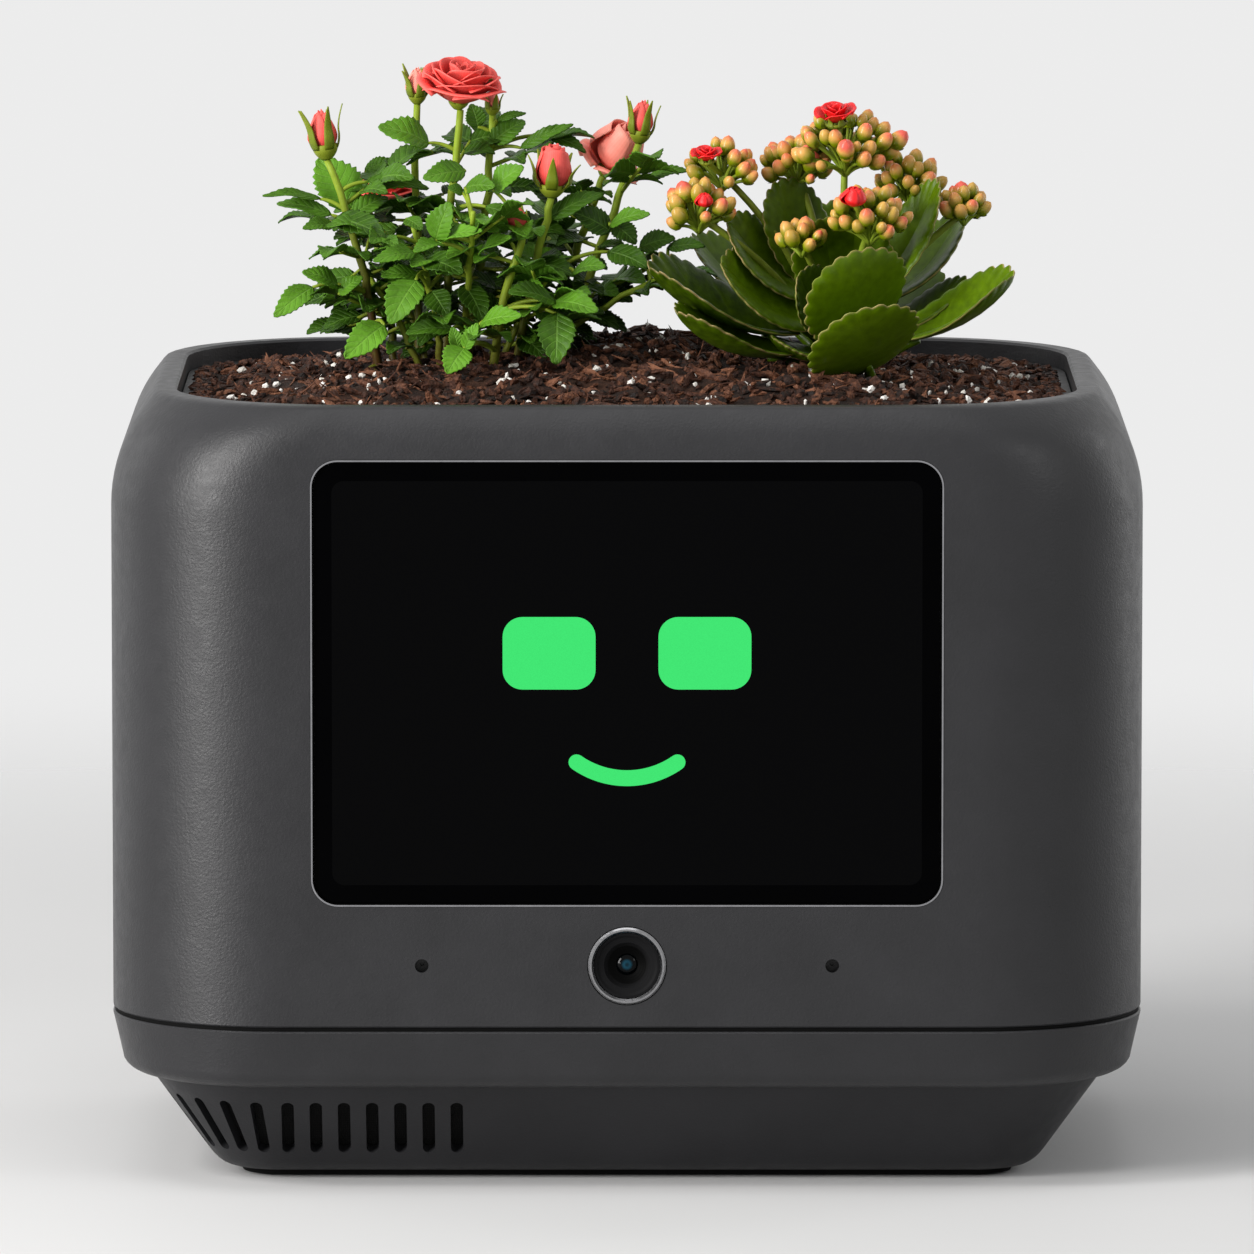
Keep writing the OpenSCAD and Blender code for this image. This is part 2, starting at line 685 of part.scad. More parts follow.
module ribbon_slots(z, h) {
  for (r = [[ribbon_x, ribbon_w, display_ribbon_y], [0, camera_ribbon_w, camera_ribbon_y]])
    translate([r[0] - r[1] / 2 - ribbon_slot_gap, r[2] - ribbon_slot_gap, z])
      cube([r[1] + 2 * ribbon_slot_gap, ribbon_t + 2 * ribbon_slot_gap, h]);
}

module shell_screw_holes(r, z, h) {
  for (p = shell_screw_at) translate([p[0], p[1], z]) cylinder(r = r, h = h);
}

module skirt() {
  color([0.2, 0.2, 0.21]) difference() {
    union() {
      around_body() polygon(skirt_outline);
      translate([0, 0, deck_z]) body_plate(corner_r - skirt_wall + edge_cut, deck_t);
      for (s = [-1, 1], t = [-1, 1]) translate([s * corner_x, t * corner_y, skirt_z])
        cylinder(r = post_r, h = skirt_h - 1);
      for (p = board_hole_at) translate([p[0], p[1], board_top_z])
        cylinder(r = standoff_r, h = deck_z - board_top_z + 1);
      translate([button_x - button_pad_w / 2, button_seat_y, skirt_z + skirt_floor_t - 1])
        cube([button_pad_w, button_pad_t, deck_z - skirt_z]);
    }
    for (s = [-1, 1], t = [-1, 1]) translate([s * corner_x, t * corner_y, skirt_z - 1])
      cylinder(r = screw_pilot_r, h = skirt_h - deck_t + 0.5);
    for (p = board_hole_at) translate([p[0], p[1], board_top_z - 1]) cylinder(r = small_pilot_r, h = 6);
    shell_screw_holes(screw_hole_r, deck_z - 1, deck_t + 2);
    ribbon_slots(deck_z - 1, deck_t + 2);
    translate([button_x, half_d, button_z]) rotate([90, 0, 0])
      cylinder(r = button_r + shaft_gap, h = 20, center = true);
    translate([usb_x, 0, 0]) upright(half_d - 10, usb_z)
      linear_extrude(20) stadium(usb_w + 2 * usb_hole_gap, usb_h + 2 * usb_hole_gap);
  }
}

module seam_gasket() {
  color([0.02, 0.02, 0.02]) translate([0, 0, seam_z]) difference() {
    body_plate(corner_r - gasket_inset, seam_h);
    translate([0, 0, -1]) body_plate(corner_r - flange_reach, seam_h + 2);
    shell_screw_holes(screw_hole_r, -1, seam_h + 2);
    ribbon_slots(-1, seam_h + 2);
  }
}

module shell_screws() {
  color([0.6, 0.6, 0.62]) for (p = shell_screw_at) translate([p[0], p[1], deck_z - screw_head_h])
    screw(screw_r, screw_head_r, screw_head_h, deck_t + seam_h + flange_t - edge_cut);
}

// Upper shell
rim_round_h = rim_round * (1 - sin(shoulder_lean));
shoulder_levels = concat([for (i = [0:6]) lerp(side_drop, front_drop, i / 6)],
  [for (i = [1:6]) lerp(front_drop, rim_round_h, i / 6)],
  [for (i = [1:4]) rim_round * (1 - sin(lerp(shoulder_lean, 90, i / 4)))]);
inner_levels = [seat_drop + ledge_t, (seat_drop + ledge_t + front_drop) / 2, front_drop,
  (front_drop + side_drop) / 2, side_drop, shell_h - flange_t];
shell_rings = concat([shell_ring(shell_h, edge_cut), shell_ring(shell_h - edge_cut, 0)],
  [for (below = shoulder_levels) shell_ring(below, 0)],
  [[open_w + edge_round, open_d + edge_round, open_r + edge_round, rim_z],
    [open_w, open_d, open_r, rim_z - edge_round],
    [open_w, open_d, open_r, seat_z],
    [open_w - ledge_w, open_d - ledge_w, open_r - ledge_w, seat_z],
    [open_w - ledge_w, open_d - ledge_w, open_r - ledge_w, seat_z - ledge_t]],
  [for (below = inner_levels) shell_ring(below, shell_wall)],
  [for (z = [shell_z + flange_t, shell_z])
    [half_w - flange_reach, half_d - flange_reach, corner_r - flange_reach, z]]);

module display_outline(inset) {
  rounded_rect(display_w - 2 * inset, display_h - 2 * inset, display_r - min(inset, display_r - 2));
}

module outer_shell() {
  color([0.22, 0.22, 0.23]) difference() {
    union() {
      hollow_loft(shell_rings, ring_steps);
      for (p = boss_at) translate([p[0], 0, 0]) upright(-inner_y - 0.5, display_z + p[1])
        cylinder(r = boss_r, h = panel_back_y + inner_y + 0.5);
      for (s = [-1, 1]) translate([s * camera_boss_x, 0, 0]) upright(-inner_y - 0.5, camera_z)
        cylinder(r = boss_r, h = camera_board_y + inner_y + 0.5);
    }
    upright(-half_d - 1, display_z) linear_extrude(recess_depth + 1) display_outline(0);
    upright(-half_d - 1, display_z) linear_extrude(shell_wall + 2) display_outline(window_margin);
    upright(-half_d - 1, camera_z) cylinder(r = camera_hole_r, h = shell_wall + 2);
    for (s = [-1, 1]) translate([s * mic_x, 0, 0]) upright(-half_d - 1, camera_z)
      cylinder(r = mic_r, h = shell_wall + 2);
    for (p = boss_at) translate([p[0], 0, 0]) upright(-inner_y, display_z + p[1])
      cylinder(r = small_pilot_r, h = panel_t);
    for (s = [-1, 1]) translate([s * camera_boss_x, 0, 0]) upright(-inner_y, camera_z)
      cylinder(r = small_pilot_r, h = barrel_len + 4);
    shell_screw_holes(screw_pilot_r, shell_z - 1, flange_t + 2);
    ribbon_slots(shell_z - 1, flange_t + 2);
  }
}

// Display
module display_trim() {
  color([0.55, 0.55, 0.57]) difference() {
    upright(-half_d - trim_proud, display_z) linear_extrude(recess_depth + trim_proud)
      display_outline(fit_gap);
    upright(-half_d - 1, display_z) linear_extrude(recess_depth + 2) display_outline(fit_gap + trim_w);
    upright(-half_d - 1, display_z) linear_extrude(1.5) display_outline(fit_gap + trim_w / 2);
  }
}

module display_glass() {
  color([0.01, 0.01, 0.012]) upright(recess_y - glass_t, display_z)
    linear_extrude(glass_t) display_outline(2 * fit_gap + trim_w);
}

module display_panel() {
  color([0.03, 0.03, 0.03]) upright(recess_y, display_z)
    linear_extrude(panel_t) display_outline(window_margin + panel_gap);
}

module display_bracket() {
  color([0.6, 0.6, 0.62]) difference() {
    upright(panel_back_y, display_z) linear_extrude(bracket_t)
      rounded_rect(2 * (boss_x + boss_r), 2 * (boss_z + boss_r), boss_r);
    for (p = boss_at) translate([p[0], 0, 0]) upright(panel_back_y - 1, display_z + p[1])
      cylinder(r = small_hole_r, h = bracket_t + 2);
    upright(panel_back_y - 1, display_z + bracket_window_up) linear_extrude(bracket_t + 2)
      rounded_rect(bracket_window[0], bracket_window[1], bracket_window[2]);
  }
}

module display_screws() {
  color([0.6, 0.6, 0.62]) for (p = boss_at)
    translate([p[0], bracket_back_y + small_head_h, display_z + p[1]]) rotate([90, 0, 0])
      screw(small_screw_r, small_head_r, small_head_h, bracket_t + bracket_screw_bite);
}

module display_board() {
  color([0.05, 0.3, 0.15]) {
    translate([driver_x - driver_w / 2, bracket_back_y, driver_z]) cube([driver_w, driver_t, driver_h]);
    translate([-driver_chip[0], bracket_back_y + driver_t, driver_z + 14]) cube(driver_chip);
    translate([ribbon_x - ribbon_w / 2 - connector_side, bracket_back_y + driver_t, driver_z])
      cube([ribbon_w + 2 * connector_side, connector_h, connector_d]);
  }
}

// Flat cable that drops behind the front wall, passes the deck and reaches the main board
module ribbon(x, w, y, top) {
  end_y = board_front + 3;
  end_z = board_top_z + connector_h;
  translate([x - w / 2, 0, 0]) {
    translate([0, y, ribbon_z]) cube([w, ribbon_t, top - ribbon_z]);
    translate([0, y, ribbon_z]) cube([w, end_y - y, ribbon_t]);
    translate([0, end_y - ribbon_t, end_z]) cube([w, ribbon_t, ribbon_z - end_z + ribbon_t]);
  }
}

module display_ribbon() {
  color([0.7, 0.45, 0.15]) ribbon(ribbon_x, ribbon_w, display_ribbon_y, driver_z + connector_d);
}

// Camera, drawn with its axis upright and its front at the bottom
module camera_bezel() {
  color([0.8, 0.8, 0.82]) upright(camera_face_y, camera_z) rotate_extrude() polygon([
    [bezel_bore_r, 0.6], [bezel_bore_r + 0.5, 0], [bezel_r - 0.4, 0], [bezel_r, 0.4], [bezel_r, bezel_len],
    [bezel_flange_r, bezel_len], [bezel_flange_r, camera_len], [bezel_bore_r, camera_len]]);
}

module camera_baffle() {
  r = bezel_bore_r - fit_gap;
  color([0.02, 0.02, 0.02]) upright(camera_face_y, camera_z) rotate_extrude() polygon([
    [r, 0.9], [r, camera_len], [lens_r + fit_gap, camera_len], [lens_r + fit_gap, camera_len - 1.4],
    [baffle_mouth_r, 2.6], [baffle_mouth_r + 0.6, 1.7], [r - 1.2, 1.4], [r - 0.6, 0.9]]);
}

module camera_lens() {
  dome_h = 0.9;
  lens_t = 1.3;
  dome_r = (lens_r * lens_r + dome_h * dome_h) / (2 * dome_h);
  color([0.05, 0.08, 0.16]) upright(camera_face_y + camera_len - lens_t, camera_z)
    rotate_extrude() polygon(concat(
      [for (i = [0:8]) let(x = lens_r * i / 8) [x, dome_r - dome_h - sqrt(dome_r * dome_r - x * x)]],
      [[lens_r, lens_t], [0, lens_t]]));
}

module camera_module() {
  color([0.1, 0.1, 0.1]) {
    upright(camera_face_y + camera_len, camera_z) cylinder(r = bezel_bore_r - 0.4, h = barrel_len);
    difference() {
      translate([-camera_board_w / 2, camera_board_y, camera_z - camera_board_h / 2])
        cube([camera_board_w, camera_board_t, camera_board_h]);
      for (s = [-1, 1]) translate([s * camera_boss_x, 0, 0]) upright(camera_board_y - 1, camera_z)
        cylinder(r = small_hole_r, h = camera_board_t + 2);
    }
  }
}

module camera_screws() {
  head_y = camera_board_y + camera_board_t + small_head_h;
  color([0.6, 0.6, 0.62]) for (s = [-1, 1]) translate([s * camera_boss_x, head_y, camera_z])
    rotate([90, 0, 0])
      screw(small_screw_r, small_head_r, small_head_h, camera_board_t + camera_screw_bite);
}

module camera_ribbon() {
  color([0.7, 0.45, 0.15]) ribbon(0, camera_ribbon_w, camera_ribbon_y, camera_z - 2);
}

module microphones() {
  color([0.06, 0.06, 0.06]) for (s = [-1, 1]) translate([s * mic_x, -inner_y, camera_z]) difference() {
    union() {
      translate([-mic_board_w / 2, 0, -mic_board_h / 2]) cube([mic_board_w, mic_board_t, mic_board_h]);
      translate([-mic_can_w / 2, 0, -mic_can_h / 2]) cube([mic_can_w, mic_board_t + mic_can_t, mic_can_h]);
    }
    rotate([-90, 0, 0]) translate([0, 0, -0.5]) cylinder(r = 0.5, h = 1.5);
  }
}

// Spring contacts on the back wall that meet the basin's pads
contact_block_y = basin_d + slide_gap + 0.9;

module dock_contacts() {
  color([0.12, 0.12, 0.12]) {
    translate([-contact_pitch - 3, contact_block_y, contact_z - 3])
      cube([2 * contact_pitch + 6, inner_y - contact_block_y, 6]);
    for (i = [-1:1]) translate([i * contact_pitch, basin_d + slide_gap, contact_z]) rotate([-90, 0, 0])
      cylinder(r = pin_r, h = 2);
  }
}

// Water tank and float
module tank_plan(inset) {
  rounded_rect(2 * (tank_w - inset), 2 * (tank_d - inset), tank_r - inset);
}

module water_tank() {
  color([0.3, 0.34, 0.36]) {
    translate([0, 0, seam_z]) difference() {
      linear_extrude(tank_h) tank_plan(0);
      translate([0, 0, tank_floor]) linear_extrude(tank_h) tank_plan(tank_wall);
    }
    translate([float_x, float_y, seam_z + tank_floor - 0.5])
      cylinder(r = float_post_r, h = clip_z + clip_h - seam_z - tank_floor + 0.5);
  }
}

module float_clip() {
  color([0.2, 0.2, 0.2]) translate([float_x, float_y, clip_z]) difference() {
    cylinder(r = float_post_r + 2.6, h = clip_h);
    translate([0, 0, -1]) cylinder(r = float_post_r + 0.02, h = clip_h + 2);
  }
}

magnet_bore_r = float_post_r + 1.4;
magnet_r = magnet_bore_r + 2.2;

module level_float() {
  color([0.85, 0.4, 0.15]) translate([float_x, float_y, float_z]) difference() {
    cylinder(r = float_r, h = float_h);
    translate([0, 0, -1]) cylinder(r = float_post_r + shaft_gap, h = float_h + 2);
    translate([0, 0, float_h - magnet_t]) difference() {
      cylinder(r = magnet_r + fit_gap, h = magnet_t + 1);
      cylinder(r = magnet_bore_r - fit_gap, h = magnet_t + 2);
    }
  }
}

module float_magnet() {
  color([0.3, 0.3, 0.32]) translate([float_x, float_y, float_z + float_h - magnet_t]) difference() {
    cylinder(r = magnet_r, h = magnet_t);
    translate([0, 0, -1]) cylinder(r = magnet_bore_r, h = magnet_t + 2);
  }
}

// Lift-out basin
module basin_plan(inset) {
  rounded_rect(2 * (basin_w - inset), 2 * (basin_d - inset), basin_r - inset);
}

module planter_basin() {
  color([0.08, 0.08, 0.085]) difference() {
    union() {
      translate([0, 0, basin_floor_z]) linear_extrude(lip_z + lip_t - basin_floor_z) basin_plan(0);
      translate([0, 0, lip_z]) linear_extrude(lip_t) rounded_rect(2 * lip_w, 2 * lip_d, lip_r);
    }
    translate([0, 0, soil_bottom_z]) linear_extrude(rim_z - soil_bottom_z) basin_plan(basin_wall);
    for (p = wick_at) translate([p[0], p[1], basin_floor_z - 1])
      cylinder(r = grommet_r, h = basin_floor_t + 2);
    for (p = drain_at) translate([p[0], p[1], basin_floor_z - 1])
      cylinder(r = drain_r, h = basin_floor_t + 2);
    for (i = [-1:1]) translate([i * contact_pitch, 0, contact_z]) {
      translate([-pad_size / 2 - fit_gap, basin_d - pad_t, -pad_size / 2 - fit_gap])
        cube([pad_size + 2 * fit_gap, pad_t + 1, pad_size + 2 * fit_gap]);
      translate([0, basin_d - basin_wall - 1, 0]) rotate([-90, 0, 0])
        cylinder(r = pin_r + fit_gap, h = basin_wall + 1);
    }
  }
}

module probe_contacts() {
  color([0.8, 0.65, 0.25]) for (i = [-1:1]) translate([i * contact_pitch, 0, contact_z]) {
    translate([-pad_size / 2, basin_d - pad_t, -pad_size / 2]) cube([pad_size, pad_t, pad_size]);
    translate([0, basin_d - basin_wall, 0]) rotate([-90, 0, 0])
      cylinder(r = pin_r, h = basin_wall - pad_t + 0.2);
  }
}

module probe_blank(gap) {
  translate([-probe_w / 2 - gap, probe_y - gap, probe_top_z - probe_h - gap])
    cube([probe_w + 2 * gap, probe_t + 1, probe_h + 2 * gap]);
}

module moisture_probe() {
  color([0.1, 0.1, 0.1]) difference() {
    translate([-probe_w / 2, probe_y, probe_top_z - probe_h]) cube([probe_w, probe_t, probe_h]);
    translate([-prong_gap / 2, probe_y - 1, probe_top_z - probe_h - 1])
      cube([prong_gap, probe_t + 2, prong_len]);
  }
}

module wick_grommets() {
  color([0.03, 0.03, 0.03]) for (p = wick_at) translate([p[0], p[1], 0]) difference() {
    union() {
      translate([0, 0, basin_floor_z]) cylinder(r = grommet_r - fit_gap, h = basin_floor_t);
      translate([0, 0, basin_floor_z - 1.5]) cylinder(r = grommet_r + 2, h = 1.5);
    }
    translate([0, 0, basin_floor_z - 3]) cylinder(r = wick_r + fit_gap, h = 10);
  }
}

module wicks() {
  color([0.85, 0.82, 0.74]) for (p = wick_at) translate([p[0], p[1], wick_bottom_z])
    cylinder(r = wick_r, h = wick_top_z - wick_bottom_z);
}

// Soil with a low mound and broad lumps, through rings that shrink toward the middle
mound_steps = 12;
soil_side_steps = [14, 9];
function soil_outline() =
  [for (q = [0:3]) let(sx = (q == 0 || q == 3) ? 1 : -1, sy = q < 2 ? 1 : -1, n = soil_side_steps[q % 2],
      run = q % 2 == 0 ? [-2 * sx * (soil_w - soil_r), 0] : [0, -2 * sy * (soil_d - soil_r)],
      middle = [sx * (soil_w - soil_r), sy * (soil_d - soil_r)])
    each concat([for (i = [0:5]) let(t = 90 * (q + i / 6)) middle + soil_r * [cos(t), sin(t)]],
      [for (i = [0:n - 1]) middle + soil_r * [cos(90 * q + 90), sin(90 * q + 90)] + run * i / n])];
function soil_lump(x, y) = soil_lump_h / 2 * sin(360 * x / soil_lump_pitch + 55 * sin(5 * y))
  * sin(380 * y / soil_lump_pitch + 65 * sin(4.3 * x + 20));
function soil_top(x, y, t) =
  [x, y, soil_edge_z + soil_mound * (1 - pow(1 - t, 2)) + min(1, 6 * t) * soil_lump(x, y)];

module soil_block() {
  outline = soil_outline();
  n = len(outline);
  m = mound_steps + 2;
  points = concat([for (p = outline) [p[0], p[1], soil_bottom_z]],
    [for (i = [0:mound_steps], p = outline) let(t = i / (mound_steps + 1))
      soil_top(p[0] * (1 - t), p[1] * (1 - t), t)],
    [soil_top(0, 0, 1), [0, 0, soil_bottom_z]]);
  polyhedron(points = points, faces = concat(band_faces(m, n, false),
    [for (i = [0:n - 1]) let(h = (i + 1) % n)
      each [[(m - 1) * n + h, (m - 1) * n + i, m * n], [i, h, m * n + 1]]]));
}

module soil() {
  color([0.3, 0.22, 0.17]) difference() {
    soil_block();
    for (p = wick_at) translate([p[0], p[1], soil_bottom_z - 1])
      cylinder(r = wick_r + fit_gap, h = wick_top_z - soil_bottom_z + 1);
    probe_blank(0.05);
  }
}

// Rose
module stem_tube(stem, r0, r1, steps) {
  for (i = [0:steps - 1]) hull() {
    translate(curve_at(stem, i / steps)) sphere(lerp(r0, r1, i / steps), $fn = 5);
    translate(curve_at(stem, (i + 1) / steps)) sphere(lerp(r0, r1, (i + 1) / steps), $fn = 5);
  }
}

// Compound leaf along x: a leaf stalk, a pair of side leaflets and an end leaflet
module rose_leaf(len) {
  rotate([0, 90, 0]) cylinder(r = 0.5, h = len * 0.6, $fn = 3);
  for (s = [-1, 1]) translate([len * 0.42, 0, 0]) rotate([0, 0, s * 58])
    blade(len * 0.5, len * 0.34, 0.45, 0.15);
  translate([len * 0.56, 0, 0]) blade(len * 0.54, len * 0.38, 0.45, 0.2);
}

// Leafy shoots fan out around the middle of the bush
function shoot(i) =
  let(turn = 137.5 * i, reach = 16 + 30 * noise(i), rise = 26 + 34 * noise(i + 40) * (1 - reach / 80),
    out = [cos(turn), 0.75 * sin(turn), 0])
  [shoot_centre + 8 * out, shoot_centre + (8 + reach * 0.35) * out + [0, 0, rise * 0.75],
    shoot_centre + (8 + reach) * out + [0, 0, rise + 6]];

module leafy(stem, seed) {
  for (k = [0:len(stem_leaf_at) - 1])
    translate(curve_at(stem, stem_leaf_at[k]))
      rotate([0, -8 - 26 * noise(seed + 7 * k), 137.5 * k + 360 * noise(seed + 3)])
        rose_leaf(20 + 6 * noise(seed + 11 * k));
}

module rose_bush() {
  color([0.16, 0.32, 0.12]) translate([0, 0, rim_z]) {
    for (i = [0:len(rose_stems) - 1]) {
      stem_tube(rose_stems[i], 1.5, 0.9, 3);
      leafy(rose_stems[i], 20 * i);
    }
    for (i = [0:shoot_count - 1]) {
      stem_tube(shoot(i), 1.3, 0.7, 2);
      leafy(shoot(i), 300 + 20 * i);
    }
  }
}

// Open rose, turned around its stalk: two rings of petals and a tight heart
module rose_bloom(r) {
  rotate_extrude() polygon(r * [[0, -0.42], [0.2, -0.4], [0.72, -0.08], [1, 0.24], [0.94, 0.32], [0.74, 0.14],
    [0.76, 0.5], [0.66, 0.56], [0.5, 0.3], [0.46, 0.68], [0.24, 0.76], [0, 0.64]]);
}

// Closed bud, turned around its stalk: a drop that narrows to its tip
module rose_bud(r) {
  rotate_extrude() polygon(r * concat([[0, -0.5]],
    [for (i = [0:10]) let(t = i / 10, swell = 0.5 + 0.5 * sin(170 * pow(t, 0.8)))
      [swell * (1 - 0.7 * t * t), 3.2 * t - 0.4]],
    [[0, 3]]));
}

module rose_blooms() {
  color([0.95, 0.45, 0.36]) translate([0, 0, rim_z]) for (stem = rose_stems) translate(stem[2])
    if (stem[3] == "bloom") rose_bloom(stem[4]);
    else rose_bud(stem[4]);
}

// Kalanchoe
module scalloped_leaf(len, width) {
  n = 20;
  rim = [for (i = [0:n - 1]) let(a = 360 * i / n, wave = i % 2 == 0 ? 1 : 0.94,
      x = 0.5 - 0.5 * cos(a) * wave, y = 0.5 * sin(a) * wave * (0.86 + 0.14 * x))
    [x * len, y * width, len * (0.16 * x * x + 0.35 * y * y)]];
  middle = [0.5 * len, 0, 0.03 * len];
  polyhedron(points = concat(rim, [middle + [0, 0, 0.7], middle - [0, 0, 0.7]]),
    faces = [for (i = [0:n - 1]) let(h = (i + 1) % n) each [[i, h, n], [h, i, n + 1]]]);
}

// Puts a shape that lies along x from a foot toward a tip, with its upper face turned as given
module from_foot(foot, tip, facing) {
  x = (tip - foot) / norm(tip - foot);
  rise = facing - x * (facing * x);
  z = rise / norm(rise);
  y = cross(z, x);
  multmatrix([for (k = [0:2]) [x[k], y[k], z[k], foot[k]]]) children();
}

module kalanchoe_leaves() {
  color([0.2, 0.4, 0.12]) translate([0, 0, rim_z]) {
    for (leaf = kalanchoe_leaves_at) {
      long = norm(leaf[1] - leaf[0]);
      from_foot(leaf[0], leaf[1], leaf[3]) {
        hull() {
          sphere(1.8, $fn = 6);
          translate([long * 0.3, 0, 0.3]) sphere(1.2, $fn = 6);
        }
        translate([long * 0.14, 0, 0]) scalloped_leaf(long * 0.86, leaf[2]);
      }
      hull() {
        translate([kalanchoe_at[0], kalanchoe_at[1], min(leaf[0][2], 12) - 2]) sphere(2, $fn = 6);
        translate(leaf[0]) sphere(1.9, $fn = 6);
      }
    }
    translate([kalanchoe_at[0], kalanchoe_at[1], 0]) hull() {
      translate([0, 0, -10]) sphere(3.6, $fn = 8);
      translate([0, 0, 14]) sphere(2.2, $fn = 8);
    }
  }
}

// Stem of a flower head, from its own place around the crown
function head_stem(head) =
  let(out = [head[0][0] - kalanchoe_at[0], head[0][1] - kalanchoe_at[1]],
    foot = kalanchoe_at + out * 0.12,
    bend = kalanchoe_at + out * 0.3)
  [[foot[0], foot[1], 4], [bend[0], bend[1], head[0][2] * 0.6], head[0]];

// Direction of bud i of n, spread evenly over the upper part of a ball
function bud_dir(i, n) =
  let(z = 1 - 1.35 * (i + 0.5) / n, c = sqrt(1 - z * z))
  [c * cos(137.5 * i), c * sin(137.5 * i), z];

module kalanchoe_buds() {
  color([0.45, 0.5, 0.14]) translate([0, 0, rim_z]) for (head = kalanchoe_heads) {
    stem_tube(head_stem(head), 1.4, 1, 3);
    translate(head[0]) {
      sphere(head[1] * 0.62, $fn = 6);
      for (i = [0:head[2] - 1]) hull() {
        translate(bud_dir(i, head[2]) * head[1] * 0.6) sphere(bud_r * 0.6, $fn = 4);
        translate(bud_dir(i, head[2]) * (head[1] - 0.4)) sphere(bud_r, $fn = 5);
      }
    }
  }
}

module kalanchoe_blooms() {
  color([0.85, 0.16, 0.12]) translate([0, 0, rim_z]) for (bloom = kalanchoe_blooms_at)
    translate(kalanchoe_heads[bloom[0]][0]) {
      way = bloom[1];
      rotate([0, acos(way[2] / norm(way)), atan2(way[1], way[0])]) cylinder(r = 0.9, h = norm(way));
      translate(way) rotate([17, 0, 0]) rotate_extrude()
        polygon(bloom[2] * [[0, -0.8], [0.22, -0.76], [0.4, -0.1], [0.95, 0.2], [1, 0.34], [0.6, 0.26],
          [0.7, 0.56], [0.6, 0.62], [0.3, 0.4], [0, 0.52]]);
    }
}

// Power button, pressed toward the front
module power_button() {
  back_y = button_seat_y - slide_gap - button_flange_t;
  pin_y = board_back + plunger_len + button_travel + fit_gap;
  color([0.5, 0.5, 0.52]) translate([button_x, 0, button_z]) rotate([-90, 0, 0]) {
    translate([0, 0, back_y]) cylinder(r = button_r + button_flange, h = button_flange_t);
    translate([0, 0, back_y]) cylinder(r = button_r, h = half_d - button_sink - back_y);
    translate([0, 0, pin_y]) cylinder(r = button_pin_r, h = button_seat_y - pin_y - 0.9);
  }
}

foot_ring();
base_cover();
base_screws();
base_housing();
speaker_mesh();
speaker_frame();
speaker_cone();
speaker_magnet();
battery_tray();
battery_cells();
main_board();
board_chips();
board_screws();
usb_socket();
power_switch();
skirt();
seam_gasket();
shell_screws();
outer_shell();
display_trim();
display_glass();
display_panel();
display_bracket();
display_screws();
display_board();
display_ribbon();
camera_bezel();
camera_baffle();
camera_lens();
camera_module();
camera_screws();
camera_ribbon();
microphones();
dock_contacts();
water_tank();
float_clip();
level_float();
float_magnet();
planter_basin();
probe_contacts();
moisture_probe();
wick_grommets();
wicks();
soil();
rose_bush();
rose_blooms();
kalanchoe_leaves();
kalanchoe_buds();
kalanchoe_blooms();
power_button();
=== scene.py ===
import json
from math import cos, pi, radians, sin, sqrt
import bpy
import numpy as np
from numpy.linalg import norm
from mathutils import Matrix, Vector


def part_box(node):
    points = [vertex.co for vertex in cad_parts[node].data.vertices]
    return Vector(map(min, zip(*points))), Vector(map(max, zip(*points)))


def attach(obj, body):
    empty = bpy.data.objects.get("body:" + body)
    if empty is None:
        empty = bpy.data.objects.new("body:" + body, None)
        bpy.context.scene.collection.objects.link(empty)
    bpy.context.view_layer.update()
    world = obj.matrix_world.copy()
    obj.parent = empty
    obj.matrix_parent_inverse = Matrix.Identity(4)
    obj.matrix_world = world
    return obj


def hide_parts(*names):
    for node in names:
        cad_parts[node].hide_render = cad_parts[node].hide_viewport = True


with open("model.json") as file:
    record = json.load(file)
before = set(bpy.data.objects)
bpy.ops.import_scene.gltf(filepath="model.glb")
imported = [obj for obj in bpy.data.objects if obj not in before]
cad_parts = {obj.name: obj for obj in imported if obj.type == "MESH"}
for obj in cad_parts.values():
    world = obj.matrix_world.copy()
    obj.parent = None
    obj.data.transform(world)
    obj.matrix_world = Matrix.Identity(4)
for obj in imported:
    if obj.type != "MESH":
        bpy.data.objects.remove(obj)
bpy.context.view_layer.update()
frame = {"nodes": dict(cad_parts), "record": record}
cad = frame["nodes"]
rng = np.random.default_rng(11)
scene = bpy.context.scene
scene.view_settings.view_transform = "Standard"

# Lengths are in millimetres, apart from those that Blender takes in metres
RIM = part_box("outer_shell")[1].z * 1000
PHOTO_SIZE = 1254
# The turn from each leaf or petal to the next
GOLDEN_DEGREES = 137.5
GOLDEN_RADIANS = 2.399963


# Camera and light

def place(data, name, location):
    obj = bpy.data.objects.new(name, data)
    obj.location = location
    scene.collection.objects.link(obj)
    return obj


CAMERA_AT = (0, -3.4, 0.536)
CAMERA_DOWN = 6.798
cam_data = bpy.data.cameras.new("photo_camera")
cam_data.sensor_width = 36
cam_data.lens = 388.04
cam_data.clip_end = 100
camera = place(cam_data, "photo_camera", CAMERA_AT)
camera.rotation_euler = (radians(90 - CAMERA_DOWN), 0, 0)
scene.camera = camera


def softbox(name, location, target, size, power, colour=(1, 1, 1)):
    data = bpy.data.lights.new(name, "AREA")
    data.shape = "RECTANGLE"
    data.size, data.size_y = size
    data.energy = power
    data.color = colour
    lamp = place(data, name, location)
    lamp.rotation_mode = "QUATERNION"
    lamp.rotation_quaternion = (Vector(target) - lamp.location).to_track_quat("-Z", "Y")


